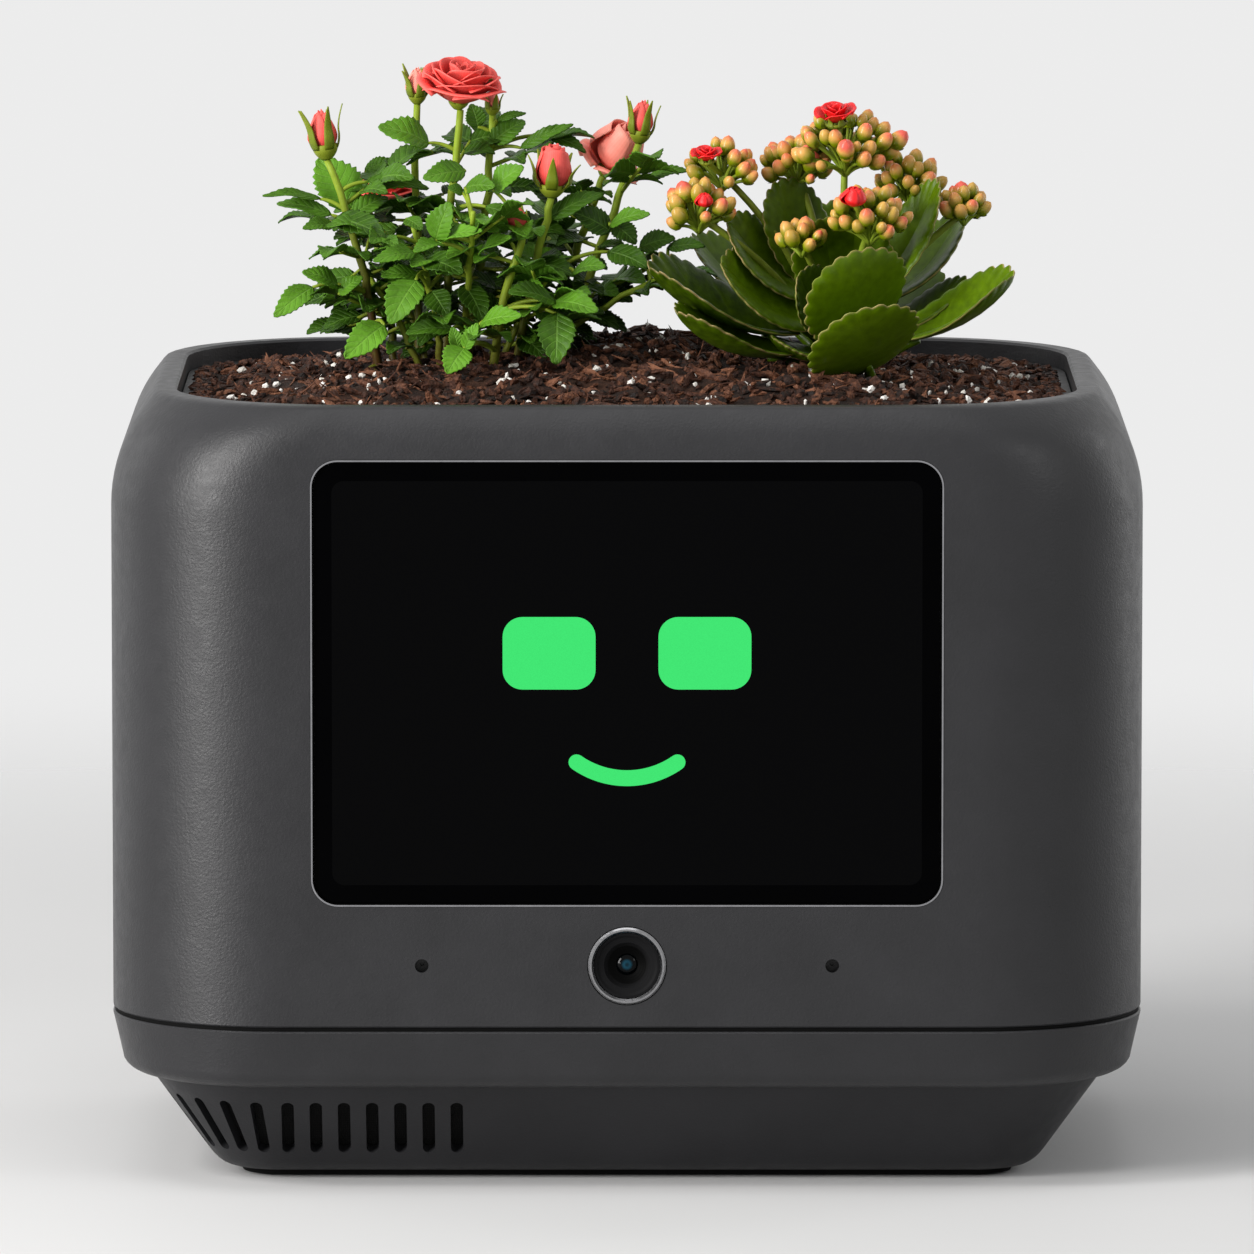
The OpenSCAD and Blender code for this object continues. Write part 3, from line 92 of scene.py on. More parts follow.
softbox("key_left", (-1.4, -1.05, 0.52), (-0.06, 0, 0.15), (0.42, 1.0), 36, (1, 0.985, 0.97))
softbox("key_high", (-1.0, -0.75, 1.3), (-0.06, 0, 0.18), (0.35, 0.35), 9, (1, 0.985, 0.97))
softbox("fill_right", (1.15, -0.85, 0.75), (0.05, 0, 0.17), (0.3, 0.6), 2.5)
softbox("top", (-0.1, -0.35, 1.5), (0, 0, 0.2), (1.0, 0.7), 4)
softbox("rim_left", (-1.2, 0.7, 0.45), (-0.1, 0, 0.15), (0.35, 0.9), 1.5)
softbox("rim_right", (1.2, 0.7, 0.45), (0.1, 0, 0.15), (0.35, 0.9), 2.5)


# Materials

def srgb(r, g, b):
    """Linear colour for a colour as a picture shows it."""
    linear = [c / 255 / 12.92 if c <= 10 else ((c / 255 + 0.055) / 1.055) ** 2.4 for c in (r, g, b)]
    return (*linear, 1)


def scaled(colour, k):
    return tuple(min(1, c * k) for c in colour[:3]) + (1,)


class Nodes:
    """Short calls for the nodes of a tree."""

    def __init__(self, tree):
        self.tree = tree

    def feed(self, socket, value):
        if isinstance(value, bpy.types.NodeSocket):
            self.tree.links.new(value, socket)
        else:
            socket.default_value = value

    def node(self, kind, out=0, **settings):
        """One output of a new node. Inputs go by name or, as i0, i1 and so on, by number."""
        n = self.tree.nodes.new("ShaderNode" + kind)
        for key, value in settings.items():
            if key[0] == "i" and key[1:].isdigit():
                self.feed(n.inputs[int(key[1:])], value)
            elif hasattr(n, key):
                setattr(n, key, value)
            else:
                self.feed(n.inputs[key], value)
        return n.outputs[out]

    def math(self, operation, a, b=0.0):
        return self.node("Math", operation=operation, i0=a, i1=b)

    def ramp(self, value, low, high, to_low=0.0, to_high=1.0):
        return self.node("MapRange", i0=value, i1=low, i2=high, i3=to_low, i4=to_high)

    def mix(self, factor, a, b):
        return self.node("Mix", out=2, data_type="RGBA", i0=factor, i6=a, i7=b)


finishes = {}


class Finish(Nodes):
    """A node material, kept by its name."""

    def __init__(self, name, base, rough=0.5, metallic=0.0, specular=0.5):
        self.material = bpy.data.materials.new(name)
        finishes[name] = self.material
        self.material.use_nodes = True
        super().__init__(self.material.node_tree)
        self.bsdf = self.tree.nodes["Principled BSDF"]
        self.set("Base Color", base)
        self.set("Roughness", rough)
        self.set("Metallic", metallic)
        self.set("Specular IOR Level", specular)

    def set(self, socket, value):
        self.feed(self.bsdf.inputs[socket], value)

    def where(self):
        """Place on the object, in metres."""
        return self.node("TexCoord", out=3)

    def spot(self):
        """Place along and across a sheet, and its tone, as the mesh holds them."""
        held = self.node("Attribute", out=1, attribute_name="spot")
        return self.node("SeparateXYZ", i0=held).node.outputs

    def noise(self, size_mm, detail=3.0):
        return self.node("TexNoise", i0=self.where(), Scale=1000 / size_mm, Detail=detail)

    def cells(self, size_mm, feature="F1"):
        return self.node("TexVoronoi", feature=feature, i0=self.where(), Scale=1000 / size_mm)

    def bump(self, height, strength, distance_mm, normal=None):
        out = self.node("Bump", Strength=strength, Distance=distance_mm / 1000, Height=height)
        if normal is not None:
            self.tree.links.new(normal, out.node.inputs["Normal"])
        self.set("Normal", out)
        return out

    def paint(self, factor, a, b):
        self.set("Base Color", self.mix(factor, a, b))

    def gloss(self, source, low, high):
        """Roughness that wanders between two values."""
        self.set("Roughness", self.ramp(source, 0.3, 0.7, low, high))

    def blotch(self, source, colour, share):
        """Base colour that wanders by a share of itself."""
        self.paint(self.ramp(source, 0.3, 0.7), scaled(colour, 1 - share), scaled(colour, 1 + share))


def moulded(name, colour, rough, grain_mm, grain, specular=0.4):
    """Moulded plastic: leathery pores, faint blotches in colour and gloss."""
    f = Finish(name, colour, rough, specular=specular)
    f.blotch(f.noise(22, 4), colour, 0.14)
    f.gloss(f.noise(3.5, 4), rough - 0.05, rough + 0.05)
    pores = f.math("ADD", f.cells(grain_mm, "SMOOTH_F1"), f.noise(grain_mm * 0.45, 2))
    f.bump(f.noise(14, 2), grain * 0.1, 0.25, f.bump(pores, grain, 0.12))


def metal(name, colour, rough):
    f = Finish(name, colour, rough, metallic=1.0)
    fine = f.noise(0.5, 4)
    f.blotch(f.noise(4, 3), colour, 0.12)
    f.gloss(fine, max(0.02, rough - 0.05), rough + 0.07)
    f.bump(fine, 0.05, 0.02)


def speckled(name, colour, other, rough, size_mm, bump=0.15, specular=0.4):
    f = Finish(name, colour, rough, specular=specular)
    n = f.noise(size_mm, 4)
    f.paint(f.ramp(n, 0.35, 0.65), colour, other)
    f.gloss(n, rough - 0.06, rough + 0.06)
    f.bump(n, bump, 0.1)


def woven(name, colour, other, pitch_mm):
    f = Finish(name, colour, 0.85, specular=0.2)
    at = f.where()
    waves = [f.node("TexWave", bands_direction=d, i0=at, Scale=314 / pitch_mm) for d in ("X", "Z")]
    both = f.math("MULTIPLY", waves[0], waves[1])
    f.paint(both, colour, other)
    f.bump(both, 0.5, 0.2)


def copper_mask(name, colour, other):
    """Solder mask over copper runs."""
    f = Finish(name, colour, 0.35)
    runs = f.ramp(f.cells(3.2, "DISTANCE_TO_EDGE"), 0.03, 0.06)
    f.paint(runs, other, colour)
    f.bump(runs, 0.2, 0.03)


# The kind of finish, its name, and its colours and measures
for make, name, *details in (
        (moulded, "shell_plastic", srgb(35, 35, 37), 0.42, 0.7, 0.4, 0.34),
        (moulded, "base_plastic", srgb(33, 33, 35), 0.45, 0.6, 0.25, 0.22),
        (speckled, "black_rubber", srgb(5, 5, 5), srgb(9, 9, 9), 0.75, 1.2, 0.2, 0.08),
        (metal, "screw_steel", srgb(168, 168, 172), 0.32),
        (woven, "speaker_cloth", srgb(3, 3, 3), srgb(12, 12, 12), 0.5),
        (speckled, "speaker_paper", srgb(40, 40, 40), srgb(56, 55, 54), 0.8, 0.8),
        (speckled, "black_plastic", srgb(16, 16, 17), srgb(25, 25, 26), 0.5, 0.7, 0.15),
        (speckled, "cell_wrap", srgb(36, 84, 150), srgb(44, 96, 165), 0.35, 6.0, 0.05),
        (copper_mask, "circuit_board", srgb(18, 80, 48), srgb(44, 116, 70)),
        (metal, "connector_metal", srgb(190, 190, 194), 0.24),
        (speckled, "flex_cable", srgb(160, 104, 40), srgb(176, 120, 52), 0.3, 2.5, 0.05),
        (moulded, "tank_plastic", srgb(96, 104, 108), 0.4, 0.9, 0.12),
        (speckled, "float_foam", srgb(206, 110, 46), srgb(188, 92, 36), 0.75, 1.0, 0.4),
        (metal, "contact_gold", srgb(214, 178, 92), 0.25),
        (woven, "wick_cotton", srgb(196, 188, 168), srgb(226, 220, 204), 1.1),
        # The basin is kept near black as painted shade: its lip stands in for the dark gap between rim and
        # soil
        (moulded, "basin_plastic", srgb(20, 20, 21), 0.55, 0.7, 0.3, 0.25),
        (speckled, "button_rubber", srgb(44, 44, 45), srgb(56, 56, 57), 0.6, 0.8, 0.2, 0.2)):
    make(name, *details)

glass = Finish("screen_glass", srgb(1, 1, 2), 0.06, specular=0.015)
glass.paint(glass.noise(30, 2), srgb(0, 0, 0), srgb(2, 2, 3))
glass.gloss(glass.noise(18, 3), 0.05, 0.09)

bezel_lo, bezel_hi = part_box("camera_bezel")
camera_axis = (0, 0, (bezel_lo.z + bezel_hi.z) / 2)
# Radii about that axis, in metres
reflection_in, reflection_peak, reflection_out = 0.0001, 0.0008, 0.0015
throat_shade_in, throat_shade_out = 0.0046, 0.0054
gap_shade_in, gap_shade_out = 0.0096, 0.00966


def from_axis(f):
    """Distance from the camera's axis, in metres."""
    offset = f.node("VectorMath", operation="SUBTRACT", i0=f.where(), i1=camera_axis)
    flat = f.node("VectorMath", operation="MULTIPLY", i0=offset, i1=(1, 0, 1))
    return f.node("VectorMath", out=1, operation="LENGTH", i0=flat)


lens = Finish("lens_glass", srgb(3, 6, 12), 0.05, specular=0.1)
lens_r = from_axis(lens)
# Painted reflection: a teal ring, brightest 0.8 mm from the axis, is painted into the glass's colour for the
# coating's reflection
rising = lens.ramp(lens_r, reflection_in, reflection_peak, 0.25, 1)
falling = lens.ramp(lens_r, reflection_peak, reflection_out, 1, 0)
lens.paint(lens.math("MULTIPLY", rising, falling), srgb(1, 2, 3), srgb(14, 56, 72))
lens.gloss(lens.noise(0.6, 2), 0.04, 0.07)

baffle = Finish("camera_throat", srgb(14, 14, 15), 0.55, specular=0.04)
baffle_r = from_axis(baffle)
# Painted shade: the baffle turns black inwards of about 4.6 mm from the axis, for the shade deep in the
# throat
baffle.paint(baffle.ramp(baffle_r, throat_shade_in, throat_shade_out), srgb(1, 1, 1), srgb(22, 22, 23))
baffle.bump(baffle.math("PINGPONG", baffle.math("MULTIPLY", baffle_r, 1000), 0.3), 0.3, 0.15)

bezel = Finish("bezel_chrome", srgb(140, 140, 142), 0.24, metallic=1.0)
# Painted shade: outwards of about 9.6 mm from the axis the bezel is painted near black, for the dark gap
# around the ring
gap_shade = bezel.ramp(from_axis(bezel), gap_shade_in, gap_shade_out)
brushed = bezel.mix(bezel.noise(0.7, 3), srgb(128, 128, 130), srgb(156, 156, 158))
bezel.paint(gap_shade, brushed, srgb(8, 8, 8))
bezel.gloss(bezel.noise(0.3, 3), 0.16, 0.28)
bezel.bump(bezel.noise(0.25, 2), 0.05, 0.02)

# The metal line is bright where it stands proud of the shell; behind that, in the gap, it is painted near
# black as painted shade
shell_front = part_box("outer_shell")[0].y
trim = Finish("trim_metal", srgb(120, 120, 123), 0.3, metallic=1.0)
trim_y = trim.node("SeparateXYZ", out=1, i0=trim.where())
gap = trim.ramp(trim_y, shell_front, shell_front + 0.0002)
bright = trim.mix(trim.noise(2, 3), srgb(134, 134, 137), srgb(158, 158, 161))
trim.paint(gap, bright, srgb(6, 6, 6))
trim.bump(trim.noise(0.4, 3), 0.05, 0.02)

# A node takes the finish that is named like its slot, apart from these
own_finish = {"camera_baffle": "camera_throat", "planter_basin": "basin_plastic",
              "power_button": "button_rubber"}
for part in frame["record"]["subparts"]:
    skin = finishes.get(own_finish.get(part["node"], part["material_slot"]))
    if skin is not None:
        cad[part["node"]].data.materials.clear()
        cad[part["node"]].data.materials.append(skin)

# The mouldings' facets are shaded as the curves that they follow
for name in ("outer_shell", "skirt", "base_housing", "foot_ring"):
    cad[name].data.shade_smooth()
    weld = cad[name].modifiers.new("weld", "WELD")
    weld.merge_threshold = 0.00002
    split = cad[name].modifiers.new("split", "EDGE_SPLIT")
    split.split_angle = radians(24)


# Meshes

def sheet(u, v, w):
    """Three numbers for each point of a grid."""
    return np.stack(np.broadcast_arrays(u, v, w), -1)


def patch(rows, cols):
    """Shares along a sheet from 0 to 1, and across it from -1 to 1."""
    return np.linspace(0, 1, rows)[:, None], np.linspace(-1, 1, cols)


def angles(count):
    return np.linspace(0, 2 * pi, count, endpoint=False)


def round_patch(rows, cols):
    """Shares along a round sheet from 0 to 1, and angles around it."""
    return np.linspace(0, 1, rows)[:, None], angles(cols)


def wrapped(base, spin, reach, turn, rise):
    """Points at a distance and a turn about a tilted axis, and a height along it."""
    return base + sheet(reach * np.cos(turn), reach * np.sin(turn), rise) @ spin.T


def quads(rows, cols, closed):
    """Faces of a grid, which is joined around where it is closed."""
    return [(r * cols + c, r * cols + (c + 1) % cols, (r + 1) * cols + (c + 1) % cols, (r + 1) * cols + c)
            for r in range(rows - 1) for c in range(cols if closed else cols - 1)]


class Shape:
    """One mesh of sheets, tubes and lumps, with a place on the sheet and a tone for each point."""

    def __init__(self):
        self.points, self.faces, self.spot, self.skin = [], [], [], []
        self.count = 0

    def add(self, points, faces, spot, skin=0):
        points = np.asarray(points, float).reshape(-1, 3)
        self.points.append(points)
        self.spot.append(np.broadcast_to(np.reshape(spot, (-1, 3)), points.shape))
        self.faces.extend(tuple(i + self.count for i in face) for face in faces)
        self.skin.extend([skin] * len(faces))
        self.count += len(points)

    def grid(self, points, spot, skin=0, closed=False):
        self.add(points, quads(*points.shape[:2], closed), spot, skin)

    def close_ends(self, start, sides, skin=0):
        """Flat faces on the ring that begins at a point and on the last ring."""
        self.faces.append(tuple(range(start + sides - 1, start - 1, -1)))
        self.faces.append(tuple(range(self.count - sides, self.count)))
        self.skin.extend([skin, skin])

    def tube(self, path, radii, spot, skin=0, sides=8):
        """Closed tube along a path. Two radii make an even taper."""
        path = np.asarray(path, float)
        if len(radii) == 2:
            radii = np.linspace(*radii, len(path))
        step = np.gradient(path, axis=0)
        step /= norm(step, axis=1)[:, None] + 1e-12
        side = np.cross(step[0], (0.3, 0.9, 0.2))
        rings = []
        turn = angles(sides)
        for p, t, r in zip(path, step, radii):
            side = side - t * (side @ t)
            side /= norm(side)
            other = np.cross(t, side)
            rings.append(p + r * (np.cos(turn)[:, None] * side + np.sin(turn)[:, None] * other))
        start = self.count
        self.grid(np.array(rings), spot, skin, closed=True)
        self.close_ends(start, sides, skin)

    def piece(self, name, skins, replaces=None, body="planter", smooth=True, sheet_mm=0):
        mesh = bpy.data.meshes.new(name)
        points = np.concatenate(self.points) / 1000
        mesh.from_pydata(points.tolist(), [], self.faces)
        mesh.attributes.new("spot", "FLOAT_VECTOR", "POINT").data.foreach_set(
            "vector", np.concatenate(self.spot).astype(np.float32).ravel())
        for skin in skins:
            mesh.materials.append(finishes[skin])
        mesh.polygons.foreach_set("material_index", self.skin)
        mesh.polygons.foreach_set("use_smooth", [smooth] * len(self.faces))
        mesh.update()
        obj = place(mesh, name, (0, 0, 0))
        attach(obj, body)
        if replaces:
            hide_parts(replaces)
        if sheet_mm:
            solid = obj.modifiers.new("thickness", "SOLIDIFY")
            solid.thickness = sheet_mm / 1000
            solid.offset = 0


def unit(v):
    v = np.asarray(v, float)
    return v / (norm(v) + 1e-12)


def axes(along, facing):
    x = unit(along)
    facing = np.asarray(facing, float)
    z = unit(facing - x * (facing @ x))
    return np.column_stack([x, np.cross(z, x), z])


def turned(axis, degrees):
    return np.array(Matrix.Rotation(radians(degrees), 3, axis))


def curve(start, bend, end, t):
    """Points at shares t of a bent path."""
    start, bend, end = (np.asarray(p, float) for p in (start, bend, end))
    t = np.asarray(t, float)[..., None]
    return (1 - t) ** 2 * start + 2 * t * (1 - t) * bend + t * t * end


def bowed(start, bend, end, count):
    """A number of points spread evenly along a bent path."""
    return curve(start, bend, end, np.linspace(0, 1, count))


def lift(p):
    return np.asarray(p, float) + (0, 0, RIM)


# Lit screen: a dark picture area, two eyes and a smile, on the front of the glass

def rounded_outline(w, h, r, steps=10):
    pts = []
    for q, (sx, sy) in enumerate(((1, 1), (-1, 1), (-1, -1), (1, -1))):
        for t in np.radians(np.linspace(90 * q, 90 * q + 90, steps + 1)):
            pts.append((sx * (w / 2 - r) + r * cos(t), sy * (h / 2 - r) + r * sin(t)))
    return pts


def arc(x, z, r, angles):
    return [(x + r * cos(a), z + r * sin(a)) for a in angles]


def lit(name, colour, deep):
    f = Finish(name, srgb(0, 0, 0), 0.3, specular=0.025)
    pixels = f.cells(0.22)
    f.set("Emission Color", f.mix(f.ramp(pixels, 0.1, 0.7), colour, deep))
    f.set("Emission Strength", 1.0)


glass_lo, glass_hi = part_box("display_glass")
glass_mid = (glass_lo + glass_hi) * 500
front_y = glass_lo.y * 1000


def screen_shape(name, outlines, proud):
    s = Shape()
    for outline in outlines:
        n = len(outline)
        ring = [(glass_mid.x + x, front_y - proud, glass_mid.z + z) for x, z in outline]
        back = [(x, front_y - back_proud, z) for x, y, z in ring]
        sides = [(i, n + i, n + (i + 1) % n, (i + 1) % n) for i in range(n)]
        s.add(ring + back, [tuple(range(n))] + sides, (0, 0, 0))
    s.piece(name, [name], body="pot_body", smooth=False)


picture_w, picture_h, picture_r = 145.5, 100.3, 3
eye_w, eye_h, eye_r = 22.9, 18, 4.9
eye_x, eye_z = 19.2, 7.5
smile_r, smile_t, smile_half = 21.6, 3.95, 35.2
smile_low = -25.5
back_proud, picture_proud, face_proud = 0.002, 0.02, 0.04

lit("screen_picture", srgb(6, 6, 6), srgb(4, 4, 5))
lit("screen_face", srgb(68, 238, 120), srgb(64, 226, 113))
screen_shape("screen_picture", [rounded_outline(picture_w, picture_h, picture_r)], picture_proud)
eye = rounded_outline(eye_w, eye_h, eye_r)
half_t = smile_t / 2
smile_mid = smile_low + half_t + smile_r
bend = np.radians(np.linspace(-90 - smile_half, -90 + smile_half, 33))
cap = np.linspace(0.1, 0.9, 9) * pi
left, right = arc(0, smile_mid, smile_r, (bend[0], bend[-1]))
smile = arc(0, smile_mid, smile_r + half_t, bend)
smile += arc(*right, half_t, bend[-1] + cap)
smile += arc(0, smile_mid, smile_r - half_t, bend[::-1])
smile += arc(*left, half_t, bend[0] + pi + cap)
face = [[(x + s * eye_x, z + eye_z) for x, z in eye] for s in (-1, 1)] + [smile]
screen_shape("screen_face", face, face_proud)


# Plant finishes: the spot attribute gives place along and across a leaf, and its tone

def leaf_finish(name, dark, light, vein, rough, ribs, bump, veins, edge=None, specular=0.4):
    f = Finish(name, dark, rough, specular=specular)
    u, v, tone = f.spot()
    across = f.math("ABSOLUTE", v)
    slant = f.math("SUBTRACT", f.math("MULTIPLY", u, ribs), f.math("MULTIPLY", across, ribs * 0.24))
    wave = f.math("PINGPONG", slant, 0.5)
    line = f.math("MAXIMUM", f.ramp(wave, 0.0, 0.09, 1, 0), f.ramp(across, 0.0, 0.09, 1, 0))
    mottle = f.math("ADD", tone, f.ramp(f.noise(2.2, 4), 0.25, 0.75, -0.14, 0.14))
    green = f.mix(mottle, dark, light)
    green = f.mix(f.math("MULTIPLY", line, veins), green, vein)
    if edge:
        patchy = f.ramp(f.noise(7, 2), 0.35, 0.65, 0.12, 0.6)
        green = f.mix(f.math("MULTIPLY", f.ramp(across, 0.975, 1.0), patchy), green, edge)
    f.set("Base Color", green)
    f.gloss(f.noise(1.5, 3), rough - 0.07, rough + 0.07)
    f.bump(f.math("SUBTRACT", f.math("ADD", wave, f.noise(0.8, 2)), line), bump, 0.35)


leaf_finish("rose_leaf", srgb(8, 30, 0), srgb(96, 148, 38), srgb(138, 182, 84),
            rough=0.42, ribs=7.0, bump=0.5, veins=0.3, specular=0.14)
leaf_finish("kalanchoe_leaf", srgb(13, 34, 0), srgb(112, 146, 4), srgb(132, 164, 40),
            rough=0.36, ribs=3.0, bump=0.08, veins=0.1, edge=srgb(204, 170, 122), specular=0.2)


def toned(name, low, high, rough, streak=None, sheen=0.0, specular=0.35, size_mm=1.6, middle=None):
    """Colour runs from low to high with the tone, with fine streaks along the petal."""
    f = Finish(name, low, rough, specular=specular)
    _, across, tone = f.spot()
    stage = f.math("ADD", tone, f.ramp(f.noise(size_mm, 4), 0.25, 0.75, -0.12, 0.12))
    colour = f.mix(stage, low, high)
    if middle:
        colour = f.mix(f.ramp(stage, 0.5, 1.0), f.mix(f.ramp(stage, 0.0, 0.5), low, middle), high)
    if streak:
        lines = f.math("PINGPONG", f.math("MULTIPLY", across, 9.0), 0.5)
        colour = f.mix(f.ramp(lines, 0.0, 0.25, 0.16, 0), colour, streak)
        f.bump(lines, 0.2, 0.15)
    else:
        f.bump(f.noise(size_mm * 0.5, 3), 0.25, 0.12)
    f.set("Base Color", colour)
    f.gloss(f.noise(2.0, 3), rough - 0.06, rough + 0.06)
    if sheen:
        f.set("Sheen Weight", sheen)
        f.set("Sheen Tint", scaled(high, 1.2))


toned("plant_stem", srgb(66, 46, 14), srgb(140, 164, 46), 0.5, specular=0.2)
toned("sepal", srgb(62, 86, 6), srgb(140, 152, 36), 0.48, srgb(160, 170, 64), specular=0.2)
toned("rose_petal", srgb(166, 0, 0), srgb(255, 108, 100), 0.5, srgb(255, 136, 126), 0.05, 0.15)
toned("rose_petal_pale", srgb(232, 86, 72), srgb(255, 160, 144), 0.5, srgb(255, 176, 160), 0.05, 0.15)
toned("kalanchoe_bud", srgb(122, 138, 10), srgb(236, 100, 84), 0.28, size_mm=3.0, specular=0.3,
      middle=srgb(218, 166, 88))
toned("kalanchoe_petal", srgb(178, 2, 6), srgb(250, 34, 38), 0.36, srgb(255, 72, 68), 0.05, 0.35)


# Rose

# Each finish's place in the list of its piece
LEAF, STEM = 0, 1
RED, PALE, SEPAL = 0, 1, 2
BUD, CUP, STALK = 0, 1, 2


def leaflet(shape, base, tip, width, facing, tone, droop=0.12, fold=0.32):
    """Toothed leaflet from base to tip, folded along its midrib."""
    length = norm(tip - base)
    teeth = 9
    k = np.arange(2 * teeth + 1)[:, None]
    u = k / (2 * teeth)
    v = np.array([[-1, -0.86, -0.45, 0, 0.45, 0.86, 1]])
    edge = np.abs(v) == 1
    half = 0.5 * width * np.maximum(0.02, np.sin(pi * u ** 0.8) ** 0.7 * (1.05 - 0.16 * u))
    x = u * length + np.where(edge, k % 2 * length * 0.022, 0)
    y = half * v * np.where(edge & (k % 2 == 0), 0.87, 1.0)
    ruffle = 0.03 * length * np.sin(9 * u + 5 * tone) * np.abs(v)
    z = fold * np.abs(y) + length * droop * (np.sin(pi * u) * 0.9) + ruffle
    points = base + sheet(x, y, z) @ axes(tip - base, facing).T
    shape.grid(points, sheet(u, v, tone), LEAF)


def noise(i):
    """A fixed number from 0 to 1 for each i, as in the part's source."""
    v = sin(radians(i * 78.233 + 12.9898)) * 43758.5453
    return v - np.floor(v)


def in_photo(column, row, depth):
    """The point at a depth, in millimetres, that the camera sees at a place in the photograph."""
    focal = cam_data.lens / cam_data.sensor_width * PHOTO_SIZE
    ray = camera.rotation_euler.to_matrix() @ Vector((column - PHOTO_SIZE / 2, PHOTO_SIZE / 2 - row, -focal))
    stand = np.array(camera.location) * 1000
    return stand + np.array(ray) * (depth - stand[1]) / ray[1]


# Stems as base, bend and tip, and what the tip carries, all as in the part's source
rose_stems = [
    ((-46, 0, -8), (-46, 4, 30), (-42, -2, 66), "bloom", 10.5),
    ((-62, -4, -8), (-64, -8, 26), (-75.5, -8, 54), "bud", 4.4),
    ((-52, 8, -8), (-54, 12, 34), (-53, 6, 67), "bud", 3.2),
    ((-42, 8, -8), (-36, 12, 32), (-34, 8, 64), "bud", 2.6),
    ((-30, -4, -8), (-24, -8, 24), (-19, -12, 45), "half", 5.2),
    ((-22, 4, -8), (-8, 10, 26), (3, 6, 57), "bud", 3.8),
    ((-28, 14, -8), (-14, 24, 24), (-5, 18, 50), "pale", 8.5),
    ((-36, -8, -8), (-32, -16, 18), (-26, -20, 37), "half", 3.0),
    ((-58, 14, -8), (-62, 22, 20), (-62, 20, 44), "bloom", 8.0)]


def shoot(i):
    turn = radians(GOLDEN_DEGREES * i)
    reach = 16 + 30 * noise(i)
    rise = 26 + 34 * noise(i + 40) * (1 - reach / 80)
    out = np.array([cos(turn), 0.75 * sin(turn), 0])
    middle = np.array([-42, 2, -8.0])
    return (middle + 8 * out, middle + (8 + reach * 0.35) * out + (0, 0, rise * 0.75),
            middle + (8 + reach) * out + (0, 0, rise + 6))


# Leaflets of a rose leaf: place on its stalk as a share of its size, swing in degrees, length as a share
leaf_plan = ((0.6, 0, 0.5), (0.44, 58, 0.44), (0.44, -58, 0.44), (0.24, 66, 0.34), (0.24, -66, 0.34))
shoot_count = 9
shoots = [shoot(i) for i in range(shoot_count)]
foliage = Shape()
ways = []
stem_steps = 15
for i, stem in enumerate([s[:3] for s in rose_stems] + shoots):
    flowering = i < len(rose_stems)
    t = np.linspace(0, 1, stem_steps)
    path = lift(curve(*stem, t))
    path[1:-1] += rng.normal(0, 0.25, (stem_steps - 2, 3))
    ways.append(path)
    tone = np.clip(t * 1.5 - 0.25 + (0.1 if i != 1 else -0.25), 0, 1)
    rows = sheet(t[:, None], np.zeros(8), tone[:, None])
    foliage.tube(path, (1.1, 0.8) if flowering else (0.95, 0.5), rows, STEM, 8)
    for k in range(3):
        at = path[2 + 3 * k] + rng.normal(0, 0.1, 3)
        away = unit(np.append(rng.normal(0, 1, 2), 0.2))
        thorn = [at, at + away * 1.6, at + away * 3.0 - (0, 0, 0.5)]
        foliage.tube(thorn, [0.6, 0.32, 0.05], (0, 0, 0.25), STEM, 5)
    seed = 20 * i if flowering else 300 + 20 * (i - len(rose_stems))
    for k, at_t in enumerate((0.36, 0.58, 0.8)):
        foot = lift(curve(*stem, at_t))
        spin = turned("Z", GOLDEN_DEGREES * k + 360 * noise(seed + 3))
        out, _, top = (spin @ turned("Y", -8 - 26 * noise(seed + 7 * k))).T
        size = 20 + 6 * noise(seed + 11 * k)
        stalk = foot + np.outer(np.linspace(0, 0.6 * size, 6), out)
        foliage.tube(stalk, (0.45, 0.28), (0, 0, 0.8), STEM, 6)
        # The tone wanders at random and is darker further back in the bush, as painted shade
        deep = np.clip(0.32 + 0.5 * noise(seed + 5 * k) - 0.012 * (foot[1] + 5), 0.12, 0.8)
        for along, swing, long in leaf_plan:
            root = foot + out * size * along
            way = unit(turned(tuple(top), swing) @ out + (0, 0, -0.22))
            facing = top + rng.normal(0, 0.12, 3)
            leaflet(foliage, root, root + way * size * long, size * long * 0.72, facing, deep)

